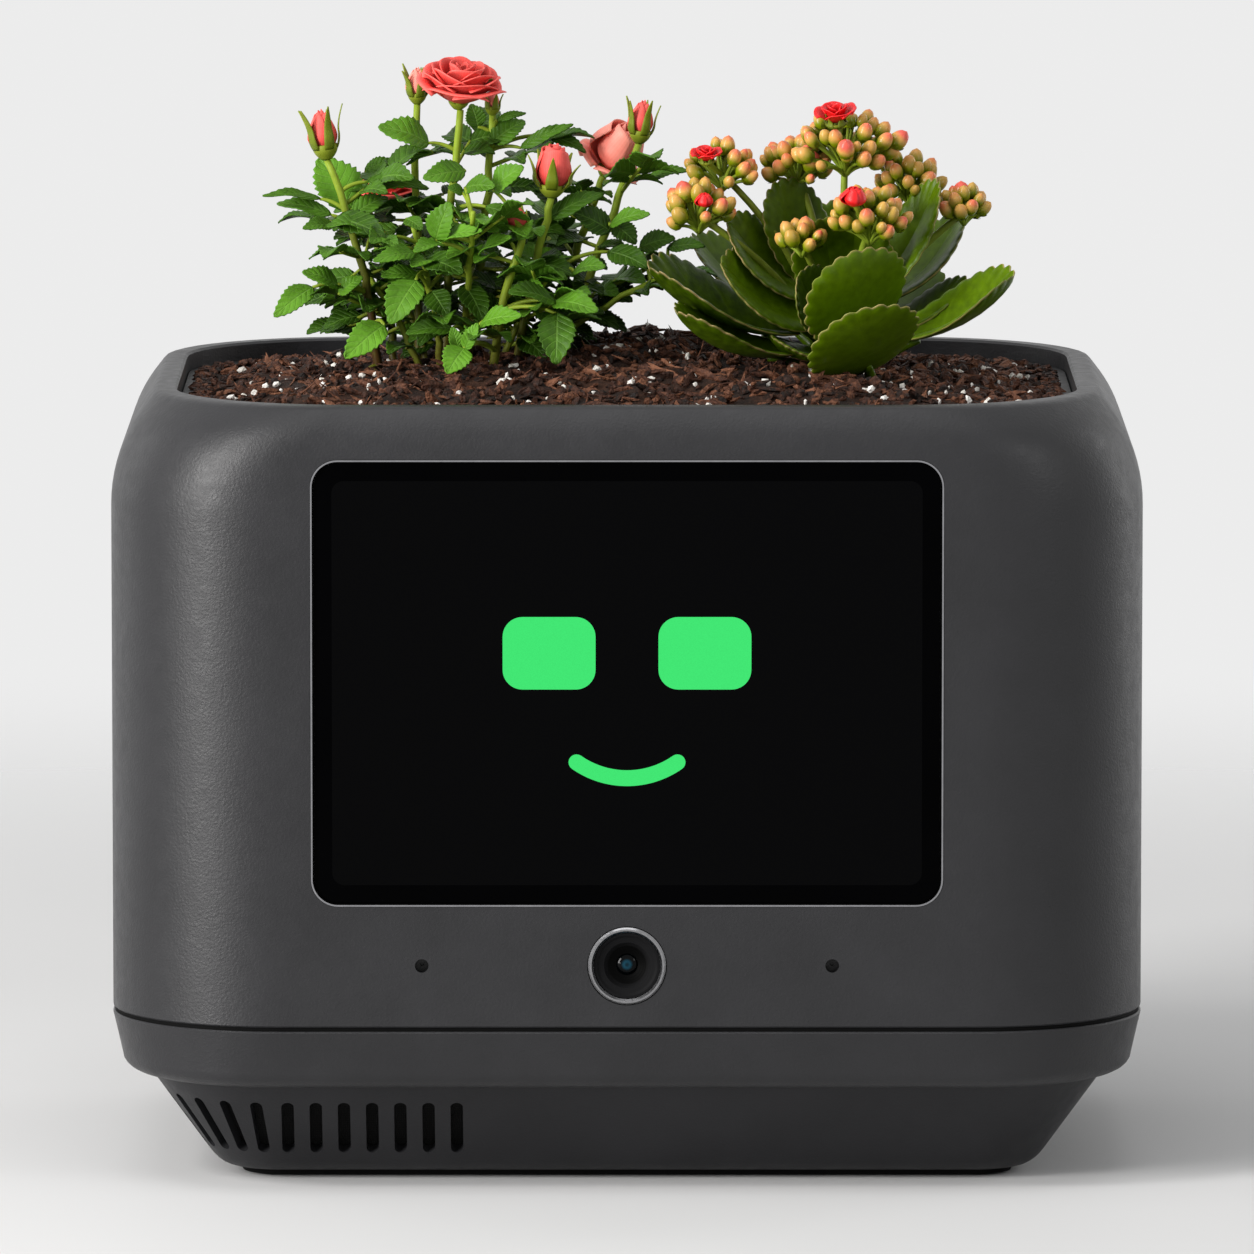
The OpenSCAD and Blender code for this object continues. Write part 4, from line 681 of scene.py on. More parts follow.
# Leaflets that stand out at the front and along the outline, as read from the photograph:
# column, row and depth of the base, the same of the tip, width and tone
placed = [
    (429, 143, 0, 378, 127, -4, 8, 0.75), (352, 209, -4, 319, 158, 2, 11, 0.9),
    (320, 199, -8, 263, 195, -14, 2.8, 0.5), (331, 215, -8, 277, 203, -10, 4.5, 0.5),
    (333, 225, -10, 303, 228, -16, 3.9, 0.5), (352, 215, -10, 388, 197, -4, 5, 0.55),
    (336, 219, -12, 385, 238, -20, 7.7, 0.25), (365, 172, 4, 394, 160, 4, 3.9, 0.5),
    (367, 182, -6, 429, 188, -2, 4.9, 0.5), (465, 171, -6, 423, 178, -10, 5.9, 0.6),
    (436, 240, -24, 450, 202, -26, 6.8, 0.7), (444, 239, -24, 483, 232, -32, 4.7, 0.95),
    (442, 244, -24, 414, 252, -32, 5, 0.7), (415, 253, -22, 373, 261, -28, 4.4, 0.7),
    (426, 260, -18, 462, 274, -26, 8.1, 0.3), (479, 254, -20, 512, 238, -28, 5.7, 0.85),
    (465, 188, -14, 495, 187, -20, 5.7, 0.6), (493, 190, -14, 524, 167, -18, 6.7, 0.8),
    (463, 193, -14, 448, 187, -16, 2.8, 0.5), (462, 222, -18, 499, 231, -26, 4.9, 0.7),
    (486, 207, -8, 525, 222, -12, 3.9, 0.5), (507, 239, -20, 534, 235, -26, 4.1, 0.6),
    (547, 219, -10, 604, 193, -8, 5, 0.4), (610, 225, -8, 650, 214, -14, 4.9, 0.7),
    (609, 252, -8, 648, 268, -14, 6.8, 0.3), (574, 271, -16, 605, 267, -24, 5.4, 0.6),
    (554, 302, -22, 598, 312, -30, 7.2, 0.75), (554, 302, -22, 509, 292, -30, 7.2, 0.35),
    (557, 314, -24, 556, 364, -32, 8.8, 0.4), (480, 324, -28, 522, 317, -36, 6.2, 0.9),
    (464, 348, -32, 447, 374, -38, 6.8, 0.95), (465, 350, -32, 478, 323, -32, 3.7, 0.9),
    (458, 349, -30, 452, 327, -30, 3.4, 0.8), (452, 329, -24, 406, 333, -30, 5, 0.4),
    (384, 325, -24, 345, 359, -32, 7.5, 1), (416, 280, -24, 390, 324, -32, 8.6, 0.7),
    (338, 285, -14, 302, 272, -18, 5.4, 0.75), (313, 287, -14, 274, 317, -20, 5.9, 0.8),
    (339, 294, -14, 363, 277, -14, 4.4, 0.75), (648, 178, 4, 689, 170, 2, 3.3, 0.5),
    (640, 248, 6, 675, 238, 4, 5.9, 0.35), (668, 248, 4, 705, 246, 0, 3.9, 0.4),
    (521, 148, 6, 573, 124, 4, 3.3, 0.5), (547, 136, 8, 586, 152, 8, 4.1, 0.35),
    (492, 143, 6, 525, 121, 8, 6.4, 0.5), (497, 120, 6, 526, 113, 6, 2.1, 0.5),
    (478, 127, 8, 471, 104, 8, 4.9, 0.45), (432, 152, 2, 406, 165, 0, 1.6, 0.6),
    (464, 285, -14, 483, 322, -20, 7.3, 0.25), (432, 292, -12, 448, 317, -18, 6.5, 0.25),
    (610, 231, -6, 572, 212, -8, 6.9, 0.2), (614, 225, -2, 636, 244, -6, 5.7, 0.2),
    (406, 219, -16, 422, 230, -20, 4.1, 0.5), (382, 238, -18, 398, 247, -24, 3.9, 0.45),
    (419, 276, -14, 381, 276, -18, 4.9, 0.6), (537, 263, -10, 575, 276, -16, 5.7, 0.25),
    (521, 337, -6, 546, 359, -12, 6.5, 0.2), (438, 321, -8, 419, 346, -14, 5.7, 0.2)]
stem_points = np.concatenate(ways)
for column, row, depth, tip_column, tip_row, tip_depth, width, tone in placed:
    base, tip = in_photo(column, row, depth), in_photo(tip_column, tip_row, tip_depth)
    gap = stem_points - base
    near = stem_points[np.argmin((gap ** 2).sum(1) + 4 * np.maximum(0, gap[:, 2] + 3) ** 2)]
    bend_at = (near + base) / 2 + (0, 0, 0.18 * norm(base - near))
    foliage.tube(bowed(near, bend_at, base, 9), (0.48, 0.28), (0, 0, 0.85), STEM, 6)
    facing = (0.0, -0.8, 0.75) + rng.normal(0, 0.1, 3)
    leaflet(foliage, base, tip, width * 1.18, facing, tone, 0.08, 0.25)

# Leaflets fill the inside of the bush; their darker tone is painted shade
inner_count = 130
for i in range(inner_count):
    turn, out, up = GOLDEN_RADIANS * i, sqrt((i + 0.5) / inner_count), noise(i + 500)
    height = 6 + 44 * up * (1 - 0.45 * out * out)
    base = lift((-40 + 34 * out * cos(turn), 8 + 17 * out * sin(turn), height))
    near = stem_points[np.argmin(((stem_points - base) ** 2).sum(1))]
    way = unit(base - near + (6 * cos(turn), 4 * sin(turn) - 3, -1))
    if norm(base - near) > 1:
        foliage.tube(np.linspace(near, base, 4), (0.4, 0.25), (0, 0, 0.6), STEM, 5)
    size = 7.5 + 4 * noise(i + 700)
    facing = (0.2 * cos(turn), -0.55, 0.8)
    leaflet(foliage, base, base + way * size, size * 0.66, facing, 0.06 + 0.3 * noise(i + 900), 0.1, 0.25)

foliage.piece("rose_foliage", ["rose_leaf", "plant_stem"], "rose_bush", sheet_mm=0.3)


def bud_radius(b, close):
    taper = 1 - close * np.maximum(0, (b - 0.4) / 0.6) ** 1.7
    return np.sin(np.minimum(b / 0.45, 1) * pi / 2) ** 0.75 * taper


def petals(shape, base, spin, r, tall, count, close, half, skin, tones, sunk=0.6, flick=0.04):
    """Petals that wrap a bud, from the heart outward."""
    b, a = patch(13, 13)
    for i in range(count):
        t = i / max(1, count - 1)
        turn = radians(GOLDEN_DEGREES * i + 40) + a * radians(half) * (0.8 + 0.2 * b)
        wide = r * (0.4 + 0.6 * t) * bud_radius(b, close * (1 - 0.2 * t)) * (1 + 0.13 * a)
        wide = wide + flick * r * t * np.maximum(0, (b - 0.8) / 0.2) ** 2
        z = tall * (1 - 0.1 * t) * b * (1 - 0.12 * np.abs(a) ** 2.5 * b) - sunk * r
        # Painted shade: each petal darkens towards its foot, along the edge that lies under its neighbour,
        # and on the inner petals
        tone = tones[0] + (tones[1] - tones[0]) * (0.15 + 0.85 * b ** 1.2)
        tone = tone - 0.45 * np.maximum(0, -a) ** 2 + 0.2 * (t - 0.5)
        shape.grid(wrapped(base, spin, wide, turn, z), sheet(b, a, tone), skin)


def open_bloom(shape, base, spin, r, whorls, skin, tones):
    """Open rose: each whorl gives a number of petals, their reach, height, roll of the lip and half width."""
    b, a = patch(15, 15)
    i = 0
    for count, reach, top, roll_by, half in whorls:
        for k in range(count):
            out = 1 + 0.09 * (noise(i + 5) - 0.5)
            widen = 0.55 + 0.45 * np.sin(pi * np.minimum(0.5, b * 0.7))
            turn = radians(360 * k / count + 67 * i + 50 * noise(i)) + a * radians(half) * widen
            edge = 1 - 0.22 * np.abs(a) ** 2.2
            climb = b * (1 - (1 - edge) * b)
            wide = r * reach * out * (0.12 + 0.88 * np.sin(climb * pi / 2) ** 1.1) * (1 + 0.05 * a)
            lip = np.maximum(0, (b - 0.68) / 0.32) ** 2 * r * roll_by * out
            z = -0.42 * r + (top + 0.42) * r * climb ** 1.2 - lip * 0.75
            z = z + 0.02 * r * np.sin(5 * a + 2.1 * i) * b ** 3
            wide = wide + lip
            # Painted shade: petals darken towards their feet and on the inner whorls, deep in the bloom; the
            # paler rims are the petals' own colour
            tone = tones[0] + (tones[1] - tones[0]) * (0.2 * b + 0.8 * b ** 2.5) + 0.2 * (noise(i + 3) - 0.5)
            tone = tone + 0.3 * np.abs(a) ** 4 * b + 0.3 * reach - 0.16
            shape.grid(wrapped(base, spin, wide, turn, z), sheet(b, a, tone), skin)
            i += 1


rose_whorls = [(3, 0.14, 0.52, 0.0, 100), (4, 0.26, 0.56, 0.03, 84), (5, 0.42, 0.56, 0.07, 68),
               (5, 0.6, 0.5, 0.1, 60), (5, 0.77, 0.4, 0.14, 56), (5, 0.86, 0.22, 0.2, 54)]
ruffle_whorls = [(3, 0.28, 0.5, 0.04, 84), (4, 0.52, 0.52, 0.1, 62), (5, 0.8, 0.36, 0.16, 48)]


def calyx(shape, base, spin, r, cup_r, cup_h, sepal, flare, skin, wide=0.55, turn=0.4, hug=None):
    """Green cup that ends at the base, and five sepals that rise from it and bend out to fine tips."""
    b, around = round_patch(9, 16)
    cup = cup_r * (0.25 + 0.75 * np.sin(pi * (0.06 + 0.55 * b)))
    points = wrapped(base, spin, cup, around, -cup_h * (1 - b))
    shape.grid(points, sheet(b, 0 * around, 0.45 + 0.3 * b), skin, closed=True)
    b, a = patch(16, 5)
    for i in range(5):
        z = -0.3 * cup_h + sepal * (0.85 + 0.3 * noise(i + 9 * r)) * b
        out = cup_r * (1.04 - 0.16 * np.sin(pi * np.minimum(0.5, 0.8 * b)))
        if hug:
            out = cup_r + (hug - cup_r) * np.sin(pi * np.minimum(0.62, 1.5 * b)) ** 0.8
        out = out + flare * r * np.maximum(0, b - 0.4) ** 1.6 * (0.5 + noise(i + 4 * r))
        span = wide * (1 - b) ** 1.2 * (0.8 + 0.6 * b) + 0.025
        angle = 2 * pi * i / 5 + turn + a * span
        shape.grid(wrapped(base, spin, out, angle, z), sheet(b, a, 0.3 + 0.4 * b), skin)


def tilt(direction):
    z = unit(direction)
    x = unit(np.cross((0.2, 1, 0.1), z))
    return np.column_stack([x, np.cross(z, x), z])


flowers = Shape()
for i, (_, elbow, tip, kind, r) in enumerate(rose_stems):
    way = unit(np.asarray(tip, float) - elbow)
    if kind == "bloom":
        spin = tilt(way + (0, -0.07, 0))
        base = lift(tip) + (0, 0, 0.62 * r if i == 0 else 0)
        open_bloom(flowers, base, spin, r * 1.05, rose_whorls, RED, (0.05, 0.9))
        calyx(flowers, base - spin[:, 2] * 0.34 * r, spin, r, r * 0.24, r * 0.26, r * 0.55, 0.9, SEPAL)
    elif kind == "pale":
        spin = tilt(way + (0.25, -0.1, 0))
        base = lift(tip) + spin[:, 2] * 0.3 * r
        petals(flowers, base, spin, r * 0.82, 1.55 * r, 7, 0.5, 78, PALE, (0.25, 0.95), 0.4, 0.08)
        outer = [(5, 0.84, 0.2, 0.24, 52)]
        open_bloom(flowers, base - spin[:, 2] * 0.1 * r, spin, r, outer, PALE, (0.35, 0.95))
        calyx(flowers, base - spin[:, 2] * 0.3 * r, spin, r, r * 0.26, r * 0.3, r * 0.6, 0.8, SEPAL)
    elif kind == "half":
        spin = tilt((0.06, -0.05, 1) if r > 4 else (-0.45, -0.25, 0.85))
        base = lift(tip) + spin[:, 2] * 0.62 * r
        petals(flowers, base, spin, r * 0.85, 2.3 * r, 8, 0.46, 78, RED, (0.15, 0.85), 0.35, 0.1)
        calyx(flowers, base, spin, r, r * 0.62, r * 0.62, 1.5 * r, 0.9, SEPAL, 0.46, -1.4, r * 0.96)
    else:
        spin = tilt(way * 0.35 + (0, 0, 0.65))
        base = lift(tip) + spin[:, 2] * 0.9 * r
        green = i == 3
        shut = i in (2, 3)
        wide, tall, sepal, hug = (0.66, 2.0, 1.7, 0.74) if green else (0.84, 2.55, 2.3, 0.92)
        petals(flowers, base, spin, r * wide, tall * r, 7, 0.8, 78, PALE if shut else RED, (0.15, 0.95))
        calyx(flowers, base, spin, r, r * 0.7, r * 0.85, sepal * r, 1.1, SEPAL,
              0.62 if shut else 0.46, 1.53, r * hug)
flowers.piece("rose_flowers", ["rose_petal", "rose_petal_pale", "sepal"], "rose_blooms",
              sheet_mm=0.28)


# Kalanchoe

def fat_leaf(shape, base, tip, width, facing, tone, fold, cup):
    """Fleshy leaf with a scalloped edge and a short stalk."""
    length = norm(tip - base)
    lobes, stalk = 12, 0.14
    ang = angles(144)
    ring = np.array([0.0, 0.3, 0.55, 0.75, 0.88, 0.96, 1.0])[:, None]
    scallop = 1 - 0.055 * np.abs(np.cos(lobes * ang)) ** 4 * np.clip(1.5 - 1.6 * np.cos(ang), 0, 1)
    x = 0.5 - 0.5 * np.cos(ang) * ring * scallop
    y = 0.5 * np.sin(ang) * ring * scallop * (0.72 + 0.5 * x - 0.16 * x * x)
    xs = (stalk + (1 - stalk) * x) * length
    ys = y * width * 1.08
    ripple = 0.35 * np.sin(3 * ang + 6 * tone) * ring ** 3
    rise = fold * np.abs(ys) + length * cup * ((x - 0.5) ** 2 * 4 - 0.4) + ripple
    thick = 0.85 * np.sqrt(np.maximum(0, 1 - ring ** 4)) + 0.12
    turn = axes(tip - base, facing).T
    spot = sheet(x, ring * np.sign(np.sin(ang) + 1e-9), tone)
    for way in (1, -1):
        points = base + sheet(xs, ys, rise + way * thick) @ turn
        shape.grid(points[:, ::way], spot[:, ::way], closed=True)
    edge = sheet(xs[-1], ys[-1], rise[-1] + np.array([[-1], [1]]) * thick[-1])
    shape.grid(base + edge @ turn, sheet(x[-1], np.ones((2, 1)), tone), closed=True)
    root = base + np.array([[0, 0, -0.6], [length * 0.1, 0, 0], [length * 0.3, 0, rise[0, 0] * 0.5]]) @ turn
    shape.tube(bowed(*root, 7), (2.0, 0.9), (0, 0.5, tone * 0.7), sides=10)


crown = np.array([54.0, 0, 0])
# Leaves as foot, tip, width, the way that the upper face looks, tone, fold and cup
kalanchoe_leaves = [
    ((60, -8, 4), (55.5, -30, 31.5), 30, (-0.5, 0.74, 0.45), 0.62, 0.03, 0.06),
    ((61.5, -18.5, -1.5), (57.5, -45.5, 18.5), 30, (-0.36, 0.6, 0.68), 0.6, 0.02, 0.06),
    ((48, -4, 4), (3.5, -23, 26), 24, (0.45, -0.25, 0.9), 0.22, 0.5, 0.1),
    ((47, -8, 1), (11, -35, 16), 18, (0.35, -0.1, 0.9), 0.3, 0.45, 0.1),
    ((62, -4, 3), (99, -20, 24), 20, (-0.5, -0.3, 0.85), 0.45, 0.5, 0.1),
    ((60, -1, 12), (79.6, -5, 48.5), 14, (-0.7, -0.65, 0.3), 0.5, 0.3, 0.06),
    ((50, -4, 8), (22, -16, 28), 21, (0.4, -0.55, 0.8), 0.45, 0.3, 0.1),
    ((50, -1, 14), (24, -6, 38), 19, (0.5, -0.6, 0.7), 0.4, 0.3, 0.1),
    ((60, 3, 6), (88, 2, 21), 22, (-0.2, -0.2, 1), 0.35, 0.25, 0.1),
    ((52, 3, 14), (37, 2, 48), 20, (0.5, -0.8, 0.3), 0.38, 0.2, 0.08),
    ((54, -2, 12), (49, -9, 40), 21, (0.2, -0.9, 0.3), 0.42, 0.2, 0.08),
    ((57, -2, 16), (62, -8, 38), 16, (-0.2, -0.9, 0.3), 0.4, 0.2, 0.08),
    ((52, 5, 4), (32, 37, 26), 26, (0, -0.5, 0.85), 0.4, 0.2, 0.1),
    ((58, 5, 4), (73, 38, 25), 26, (0, -0.5, 0.85), 0.4, 0.2, 0.1),
    ((54, 5, 10), (54, 26, 40), 24, (0, -0.85, 0.5), 0.35, 0.2, 0.1),
    ((48, 4, 6), (16, 22, 31), 22, (0.4, -0.3, 0.85), 0.35, 0.3, 0.1),
    ((60, 4, 10), (86, 20, 36), 22, (-0.5, -0.3, 0.8), 0.35, 0.3, 0.1),
    ((50, -5, 3), (36, -20, 9), 13, (0, -0.4, 0.9), 0.55, 0.2, 0.1),
    ((53, -6, 8), (42, -18, 26), 17, (0.2, -0.75, 0.6), 0.3, 0.25, 0.1)]
leaves = Shape()
for foot, tip, width, facing, tone, fold, cup in kalanchoe_leaves:
    fat_leaf(leaves, lift(foot), lift(tip), width, facing, tone, fold, cup)
    stalk = lift(crown + (0, 0, min(foot[2], 12) - 2))
    middle = (stalk + lift(foot)) / 2 + (0, 0, 0.5)
    path = bowed(stalk, middle, lift(foot), 6)
    leaves.tube(path, (2.2, 2.0), (0, 0.5, tone * 0.7), sides=10)
trunk = [lift(crown + (0, 0, z)) for z in (-10, -2, 6, 14)]
leaves.tube(trunk, [4.2, 3.8, 3.0, 2.2], (0, 0.5, 0.3), sides=12)
leaves.piece("kalanchoe_foliage", ["kalanchoe_leaf"], "kalanchoe_leaves")

# Bud heads as middle, radius and number of buds
kalanchoe_heads = [
    ((55, -2, 55), 11, 46), ((24, -4, 50), 8, 27), ((18, -12, 40), 8, 26), ((43, 6, 50), 8, 26),
    ((61, -18, 38), 9, 32), ((71, 6, 46), 8, 25), ((85, 0, 40), 6, 17), ((44, -14, 33), 5.5, 12)]

# Red flowers as the head that carries each one, its offset from the head and its radius
kalanchoe_blooms = [(0, (-2.5, -4, 10.5), 5.4), (1, (-4, -5, 5.5), 4.0), (2, (1.5, -7, 5), 2.3),
                    (4, (-4, -8, 8.5), 3.3)]
# Coral buds as head and place
coral_buds = [(2, (14.9, -14, 45.5)), (3, (45.9, 2, 52)), (0, (55, -12, 57)), (6, (84.5, 0, 44)),
              (0, (66.6, -4, 58.5))]
bloom_spots = [(lift(kalanchoe_heads[h][0]) + offset, r) for h, offset, r in kalanchoe_blooms]


def plump_bud(shape, base, way, length, r, tone):
    """Swollen bud with four seams, on its own small cup of sepals."""
    spin = tilt(way)
    b, turn = round_patch(10, 16)
    wide = r * np.sin(pi * (0.1 + 0.9 * b) ** 0.9) ** 0.5 * (1 - 0.05 * np.cos(4 * turn) ** 8)
    wide = np.where(b == 1, 0.02 * r, wide)
    warm = np.clip((b - 0.34) * 1.7, 0, 1) * tone
    shape.grid(wrapped(base, spin, wide, turn, length * b), sheet(b, turn / 6.3, warm), BUD, closed=True)
    c, a = patch(5, 3)
    for i in range(4):
        angle = pi / 2 * i + 0.4 + a * 0.55 * (1 - c ** 1.4)
        out = r * (0.45 + 0.62 * np.sin(np.minimum(1, c * 1.1) * pi / 2)) + 0.12
        shape.grid(wrapped(base, spin, out, angle, length * (0.38 * c - 0.02)), sheet(c, a, 0.45), CUP)


heads = Shape()


def bud_stalk(start, bend, end):
    heads.tube(bowed(start, bend, end, 6), (0.6, 0.42), (0, 0, 0.8), STALK, 6)


for h, (middle, r, count) in enumerate(kalanchoe_heads):
    top = np.asarray(middle, float)
    out = top[:2] - crown[:2]
    foot = np.array([*(crown[:2] + 0.12 * out), 4])
    elbow = np.array([*(crown[:2] + 0.3 * out), top[2] * 0.6])
    path = lift(bowed(foot, elbow, top, 12))
    heads.tube(path, (1.2, 0.85), (0, 0, 0.85 if h in (0, 4) else 0.55), STALK, 8)
    hub = lift(top)
    for i in range(count):
        z = 1 - 1.3 * (i + 0.5) / count
        c = sqrt(max(0, 1 - z * z))
        turn = radians(GOLDEN_DEGREES * i)
        way = unit((c * cos(turn), c * sin(turn), z) + rng.normal(0, 0.1, 3))
        reach = r * (0.95 + 0.2 * rng.random())
        length = (4.1 + 1.1 * rng.random()) * (0.75 if i % 6 == 5 else 1)
        grow = unit(way * 0.75 + (0, 0, 0.7))
        start = hub + way * (1, 1, 0.9) * max(1.5, reach - length * 0.55)
        tone = 0.4 + 0.6 * rng.random()
        if min(norm(start + grow * length * 0.5 - spot) - size for spot, size in bloom_spots) < 1.6:
            continue
        bud_stalk(hub - (0, 0, 0.5 * r), hub + way * reach * 0.3 - (0, 0, 0.1 * r), start + grow * 0.3)
        plump_bud(heads, start, grow, length, length * (0.37 + 0.05 * rng.random()), tone)
for h, spot in coral_buds:
    middle = kalanchoe_heads[h][0]
    hub = lift(middle)
    start = lift(spot) - (0, 0, 1.5)
    bud_stalk(hub - (0, 0, 3), (hub + start) / 2 - (0, 0, 2), start + (0, 0, 0.3))
    plump_bud(heads, start, unit(spot - np.asarray(middle, float) + (0, 0, 8)), 5.6, 2.4, 1.25)
heads.piece("kalanchoe_flower_heads", ["kalanchoe_bud", "sepal", "plant_stem"],
            "kalanchoe_buds")

reds = Shape()
for i, (h, offset, r) in enumerate(kalanchoe_blooms):
    middle = bloom_spots[i][0]
    spin = tilt((0.08 * i - 0.12, -0.28, 0.95))
    if r > 3.5:
        open_bloom(reds, middle, spin, r, ruffle_whorls, RED, (0.1, 0.95))
    else:
        petals(reds, middle, spin, r, 1.6 * r, 7, 0.72, 80, RED, (0.35, 0.95), 0.85)
    hub = lift(kalanchoe_heads[h][0])
    elbow = hub + np.asarray(offset) * (0.4, 0.4, 0.2)
    reds.tube(bowed(hub, elbow, middle - spin[:, 2] * 0.5 * r, 6), (0.7, 0.7), (0, 0, 0.6), CUP, 6)
    calyx(reds, middle - spin[:, 2] * 0.4 * r, spin, r, r * 0.5, r * 0.3, r * 0.45, 0.2, CUP)
reds.piece("kalanchoe_red_flowers", ["kalanchoe_petal", "sepal"], "kalanchoe_blooms",
           sheet_mm=0.25)


# Potting mix: a clumpy bed, bark and fibres on it, and white grains

soil_lo, soil_hi = (v * 1000 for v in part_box("soil"))
soil_w, soil_d, soil_r = soil_hi.x, soil_hi.y, 38.2
edge_z, mound = RIM - 6, 10
lump_h, lump_pitch = 2.7, 28
heap_at, heap_h, heap_r = np.array([5.0, 24]), 4.5, 24


def lattice(p, size, seed):
    """Smooth value noise on points in millimetres, from -1 to 1."""
    q = p / size + seed * 17.31
    cell = np.floor(q).astype(int)
    f = q - cell
    f = f * f * (3 - 2 * f)

    def dot(ix, iy):
        v = np.sin(ix * 127.1 + iy * 311.7 + seed * 74.7) * 43758.5453
        return 2 * (v - np.floor(v)) - 1

    (x, y), (fx, fy) = cell.T, f.T
    low = dot(x, y) * (1 - fx) + dot(x + 1, y) * fx
    high = dot(x, y + 1) * (1 - fx) + dot(x + 1, y + 1) * fx
    return low * (1 - fy) + high * fy


def inside(p):
    """How far in from the edge of the bed a point lies: 0 at the edge, 1 in the middle."""
    x, y = np.abs(p[:, 0]), np.abs(p[:, 1])
    a, b = soil_w - soil_r, soil_d - soil_r
    flat = np.maximum(x / soil_w, y / soil_d)
    k = a * a + b * b - soil_r ** 2
    dot = a * x + b * y
    bent = (dot - np.sqrt(np.maximum(0, dot * dot - k * (x * x + y * y)))) / k
    return 1 - np.where((x > a * bent) & (y > b * bent), bent, flat)


def bed_height(p):
    t = np.clip(inside(p), 0, 1)
    z = edge_z + mound * (1 - (1 - t) ** 2)
    wave_x = np.sin(np.radians(360 * p[:, 0] / lump_pitch + 55 * np.sin(np.radians(5 * p[:, 1]))))
    wave_y = np.sin(np.radians(380 * p[:, 1] / lump_pitch + 65 * np.sin(np.radians(4.3 * p[:, 0] + 20))))
    z = z + np.minimum(1, 6 * t) * lump_h / 2 * wave_x * wave_y
    z = z + heap_h * np.exp(-((p - heap_at) ** 2).sum(1) / heap_r ** 2)
    return z - 0.8 * np.minimum(1, 6 * t) + 0.5 * lattice(p, 6, 2) + 0.5 * lattice(p, 2.6, 3)


def ring_xy(scale, corner_steps=22, spacing=2.2):
    """Points around the edge of the bed, drawn in by a scale."""
    pts = np.array(rounded_outline(2 * soil_w, 2 * soil_d, soil_r, corner_steps))
    dense = []
    for a, b in zip(pts, np.roll(pts, -1, 0)):
        n = max(1, int(norm(b - a) / spacing))
        dense += [a + (b - a) * k / n for k in range(n)]
    return np.array(dense) * scale


def soil_finish(name, dark, mid, light, rough):
    f = Finish(name, dark, rough, specular=0.25)
    tone = f.spot()[2]
    n = f.math("ADD", tone, f.ramp(f.noise(1.1, 5), 0.25, 0.75, -0.3, 0.3))
    f.paint(f.ramp(n, 0.45, 1.0), f.mix(f.ramp(n, 0.0, 0.5), dark, mid), light)
    f.gloss(f.noise(0.7, 3), rough - 0.12, rough + 0.08)
    f.bump(f.math("ADD", f.noise(0.9, 4), f.cells(0.7)), 0.7, 0.4)


soil_finish("potting_mix", srgb(14, 8, 5), srgb(44, 27, 18), srgb(74, 47, 33), 0.85)
soil_finish("bark_chips", srgb(18, 9, 5), srgb(68, 39, 26), srgb(128, 84, 60), 0.72)
soil_finish("perlite", srgb(206, 200, 190), srgb(232, 228, 220), srgb(246, 243, 238), 0.8)

bed = Shape()
scales = np.concatenate([np.linspace(1, 0.04, 52), [0.012]])
rings = []
for s in scales:
    xy = ring_xy(s)
    rings.append(np.column_stack([xy, bed_height(xy * 0.998)]))
wall = rings[0].copy()
wall[:, 2] = soil_lo.z + 0.2
rows = np.array([wall] + rings)
tones = np.array([0.35 + 0.3 * lattice(r[:, :2], 5, 4) for r in rows])
bed.grid(rows, sheet(0, 0, tones), closed=True)
bed.close_ends(0, len(wall))
bed.piece("potting_mix_bed", ["potting_mix"], "soil")


def splinter(sides=6):
    """Points and faces of a chip that tapers to both ends."""
    turn = [2 * pi * j / sides for j in range(sides)]
    profile = ((-1, 0.35), (-0.45, 0.95), (0.25, 1.0), (0.75, 0.75), (1, 0.25))
    pts = [(x, k * cos(t), k * sin(t)) for x, k in profile for t in turn]
    ends = [tuple(range(sides - 1, -1, -1)), tuple(range(len(pts) - sides, len(pts)))]
    return np.array(pts), quads(len(profile), sides, True) + ends


def crumb():
    """Points and faces of a ball with twenty sides."""
    g = (1 + 5 ** 0.5) / 2
    pts = [(-1, g, 0), (1, g, 0), (-1, -g, 0), (1, -g, 0), (0, -1, g), (0, 1, g), (0, -1, -g), (0, 1, -g),
           (g, 0, -1), (g, 0, 1), (-g, 0, -1), (-g, 0, 1)]
    faces = [(0, 11, 5), (0, 5, 1), (0, 1, 7), (0, 7, 10), (0, 10, 11), (1, 5, 9), (5, 11, 4), (11, 10, 2),
             (10, 7, 6), (7, 1, 8), (3, 9, 4), (3, 4, 2), (3, 2, 6), (3, 6, 8), (3, 8, 9), (4, 9, 5),
             (2, 4, 11), (6, 2, 10), (8, 6, 7), (9, 8, 1)]
    return np.array(pts) / sqrt(1 + g * g), faces


def strew(shape, template, xy, z, sizes, sink, jitter, flat, tone_range):
    """One lump, bent out of shape and lying on the bed."""
    pts, faces = template
    size = np.array([rng.uniform(*s) for s in sizes]) * rng.uniform(0.75, 1.25)
    spin = turned("Z", rng.uniform(0, 360)) @ turned("Y", rng.normal(0, flat))
    spin = spin @ turned("X", rng.uniform(0, 360))
    lump = pts * (1 + rng.uniform(-jitter, jitter, pts.shape)) * size
    lump[:, 1] += rng.uniform(-0.25, 0.25) * size[0] * (lump[:, 0] / size[0]) ** 2
    shape.add(lump @ spin.T + (xy[0], xy[1], z + size.min() * sink), faces, (0, 0, rng.uniform(*tone_range)))


def scatter(shape, template, count, sizes, margin, sink, jitter, flat, tone_range):
    """Lumps at random places that lie at least a margin in from the edge of the bed."""
    lying = 0
    while lying < count:
        xy = rng.uniform((-soil_w, -soil_d), (soil_w, soil_d))[None]
        if inside(xy)[0] >= margin:
            strew(shape, template, xy[0], bed_height(xy)[0], sizes, sink, jitter, flat, tone_range)
            lying += 1


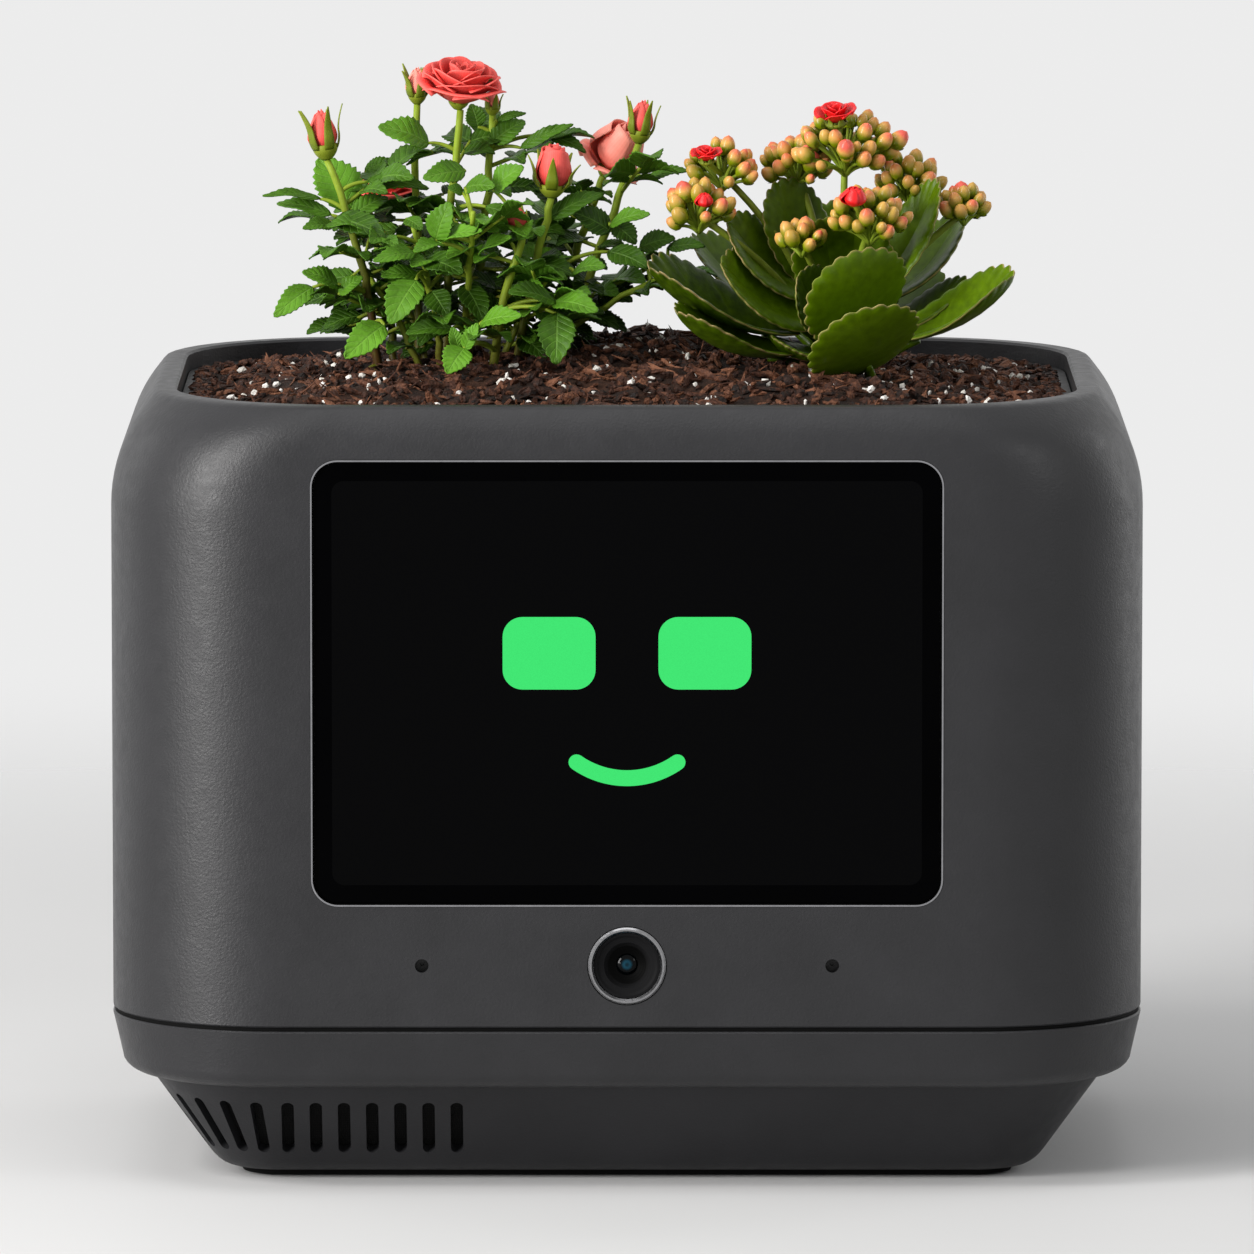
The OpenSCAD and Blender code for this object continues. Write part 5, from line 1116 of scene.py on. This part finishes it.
chips = Shape()
scatter(chips, splinter(), 1500, ((1.8, 4.2), (0.5, 1.5), (0.3, 0.9)), 0.035, 0.45, 0.28, 16, (0.1, 0.85))
scatter(chips, crumb(), 2600, ((0.6, 1.9), (0.6, 1.7), (0.5, 1.4)), 0.025, 0.35, 0.32, 40, (0.0, 0.7))
scatter(chips, splinter(5), 700, ((2.0, 5.0), (0.18, 0.4), (0.18, 0.35)), 0.06, 0.8, 0.2, 20, (0.35, 1.0))
# Crumbs and chips on the basin's lip
lip_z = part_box("planter_basin")[1].z * 1000
lip_count = 1300
lip_sizes = ((0.7, 1.7), (0.5, 1.1), (0.3, 0.8))
edge_line = ring_xy(1.0)
corner_mid = np.array([soil_w - soil_r, soil_d - soil_r])
for i in range(lip_count):
    at = edge_line[rng.integers(len(edge_line))]
    outward = unit(at - np.clip(at, -corner_mid, corner_mid))
    strew(chips, splinter() if i % 3 == 0 else crumb(), at + outward * rng.uniform(-1.5, 2.7), lip_z,
          lip_sizes, 0.3, 0.3, 12, (0.0, 0.7))
chips.piece("bark_chips", ["bark_chips"], smooth=False)
grains = Shape()
scatter(grains, crumb(), 330, ((0.55, 1.35), (0.5, 1.2), (0.5, 1.1)), 0.03, 0.75, 0.25, 60, (0.2, 0.9))
grains.piece("perlite_grains", ["perlite"], smooth=False)


# Floor and surroundings

ground = Finish("pale_floor", srgb(226, 226, 226), 0.6, specular=0.1)
ground.paint(ground.noise(400, 3), srgb(224, 224, 224), srgb(230, 230, 230))
floor_r = ground.node("VectorMath", out=1, operation="LENGTH", i0=ground.where())
fade = ground.ramp(floor_r, 0.3, 1.0, 1.0, 0.0)
fade.node.interpolation_type = "SMOOTHSTEP"
ground.set("Alpha", fade)
floor_mesh = bpy.data.meshes.new("floor")
floor_mesh.from_pydata([(-30, -30, 0), (30, -30, 0), (30, 30, 0), (-30, 30, 0)], [], [(0, 1, 2, 3)])
floor_mesh.materials.append(ground.material)
floor = place(floor_mesh, "floor", (0, 0, 0))

# The surroundings light the part less than they show
shown_strength, cast_strength = 0.84, 0.3
world = bpy.data.worlds.new("studio")
scene.world = world
world.use_nodes = True
sky = Nodes(world.node_tree)
rays = [sky.node("LightPath", out=f"Is {kind} Ray") for kind in ("Camera", "Glossy", "Transmission")]
seen = sky.math("MAXIMUM", sky.math("MAXIMUM", rays[0], rays[1]), rays[2])
back = sky.tree.nodes["Background"].inputs
sky.feed(back["Strength"], sky.ramp(seen, 0, 1, cast_strength, shown_strength))
sky.feed(back["Color"], (1, 1, 1, 1))
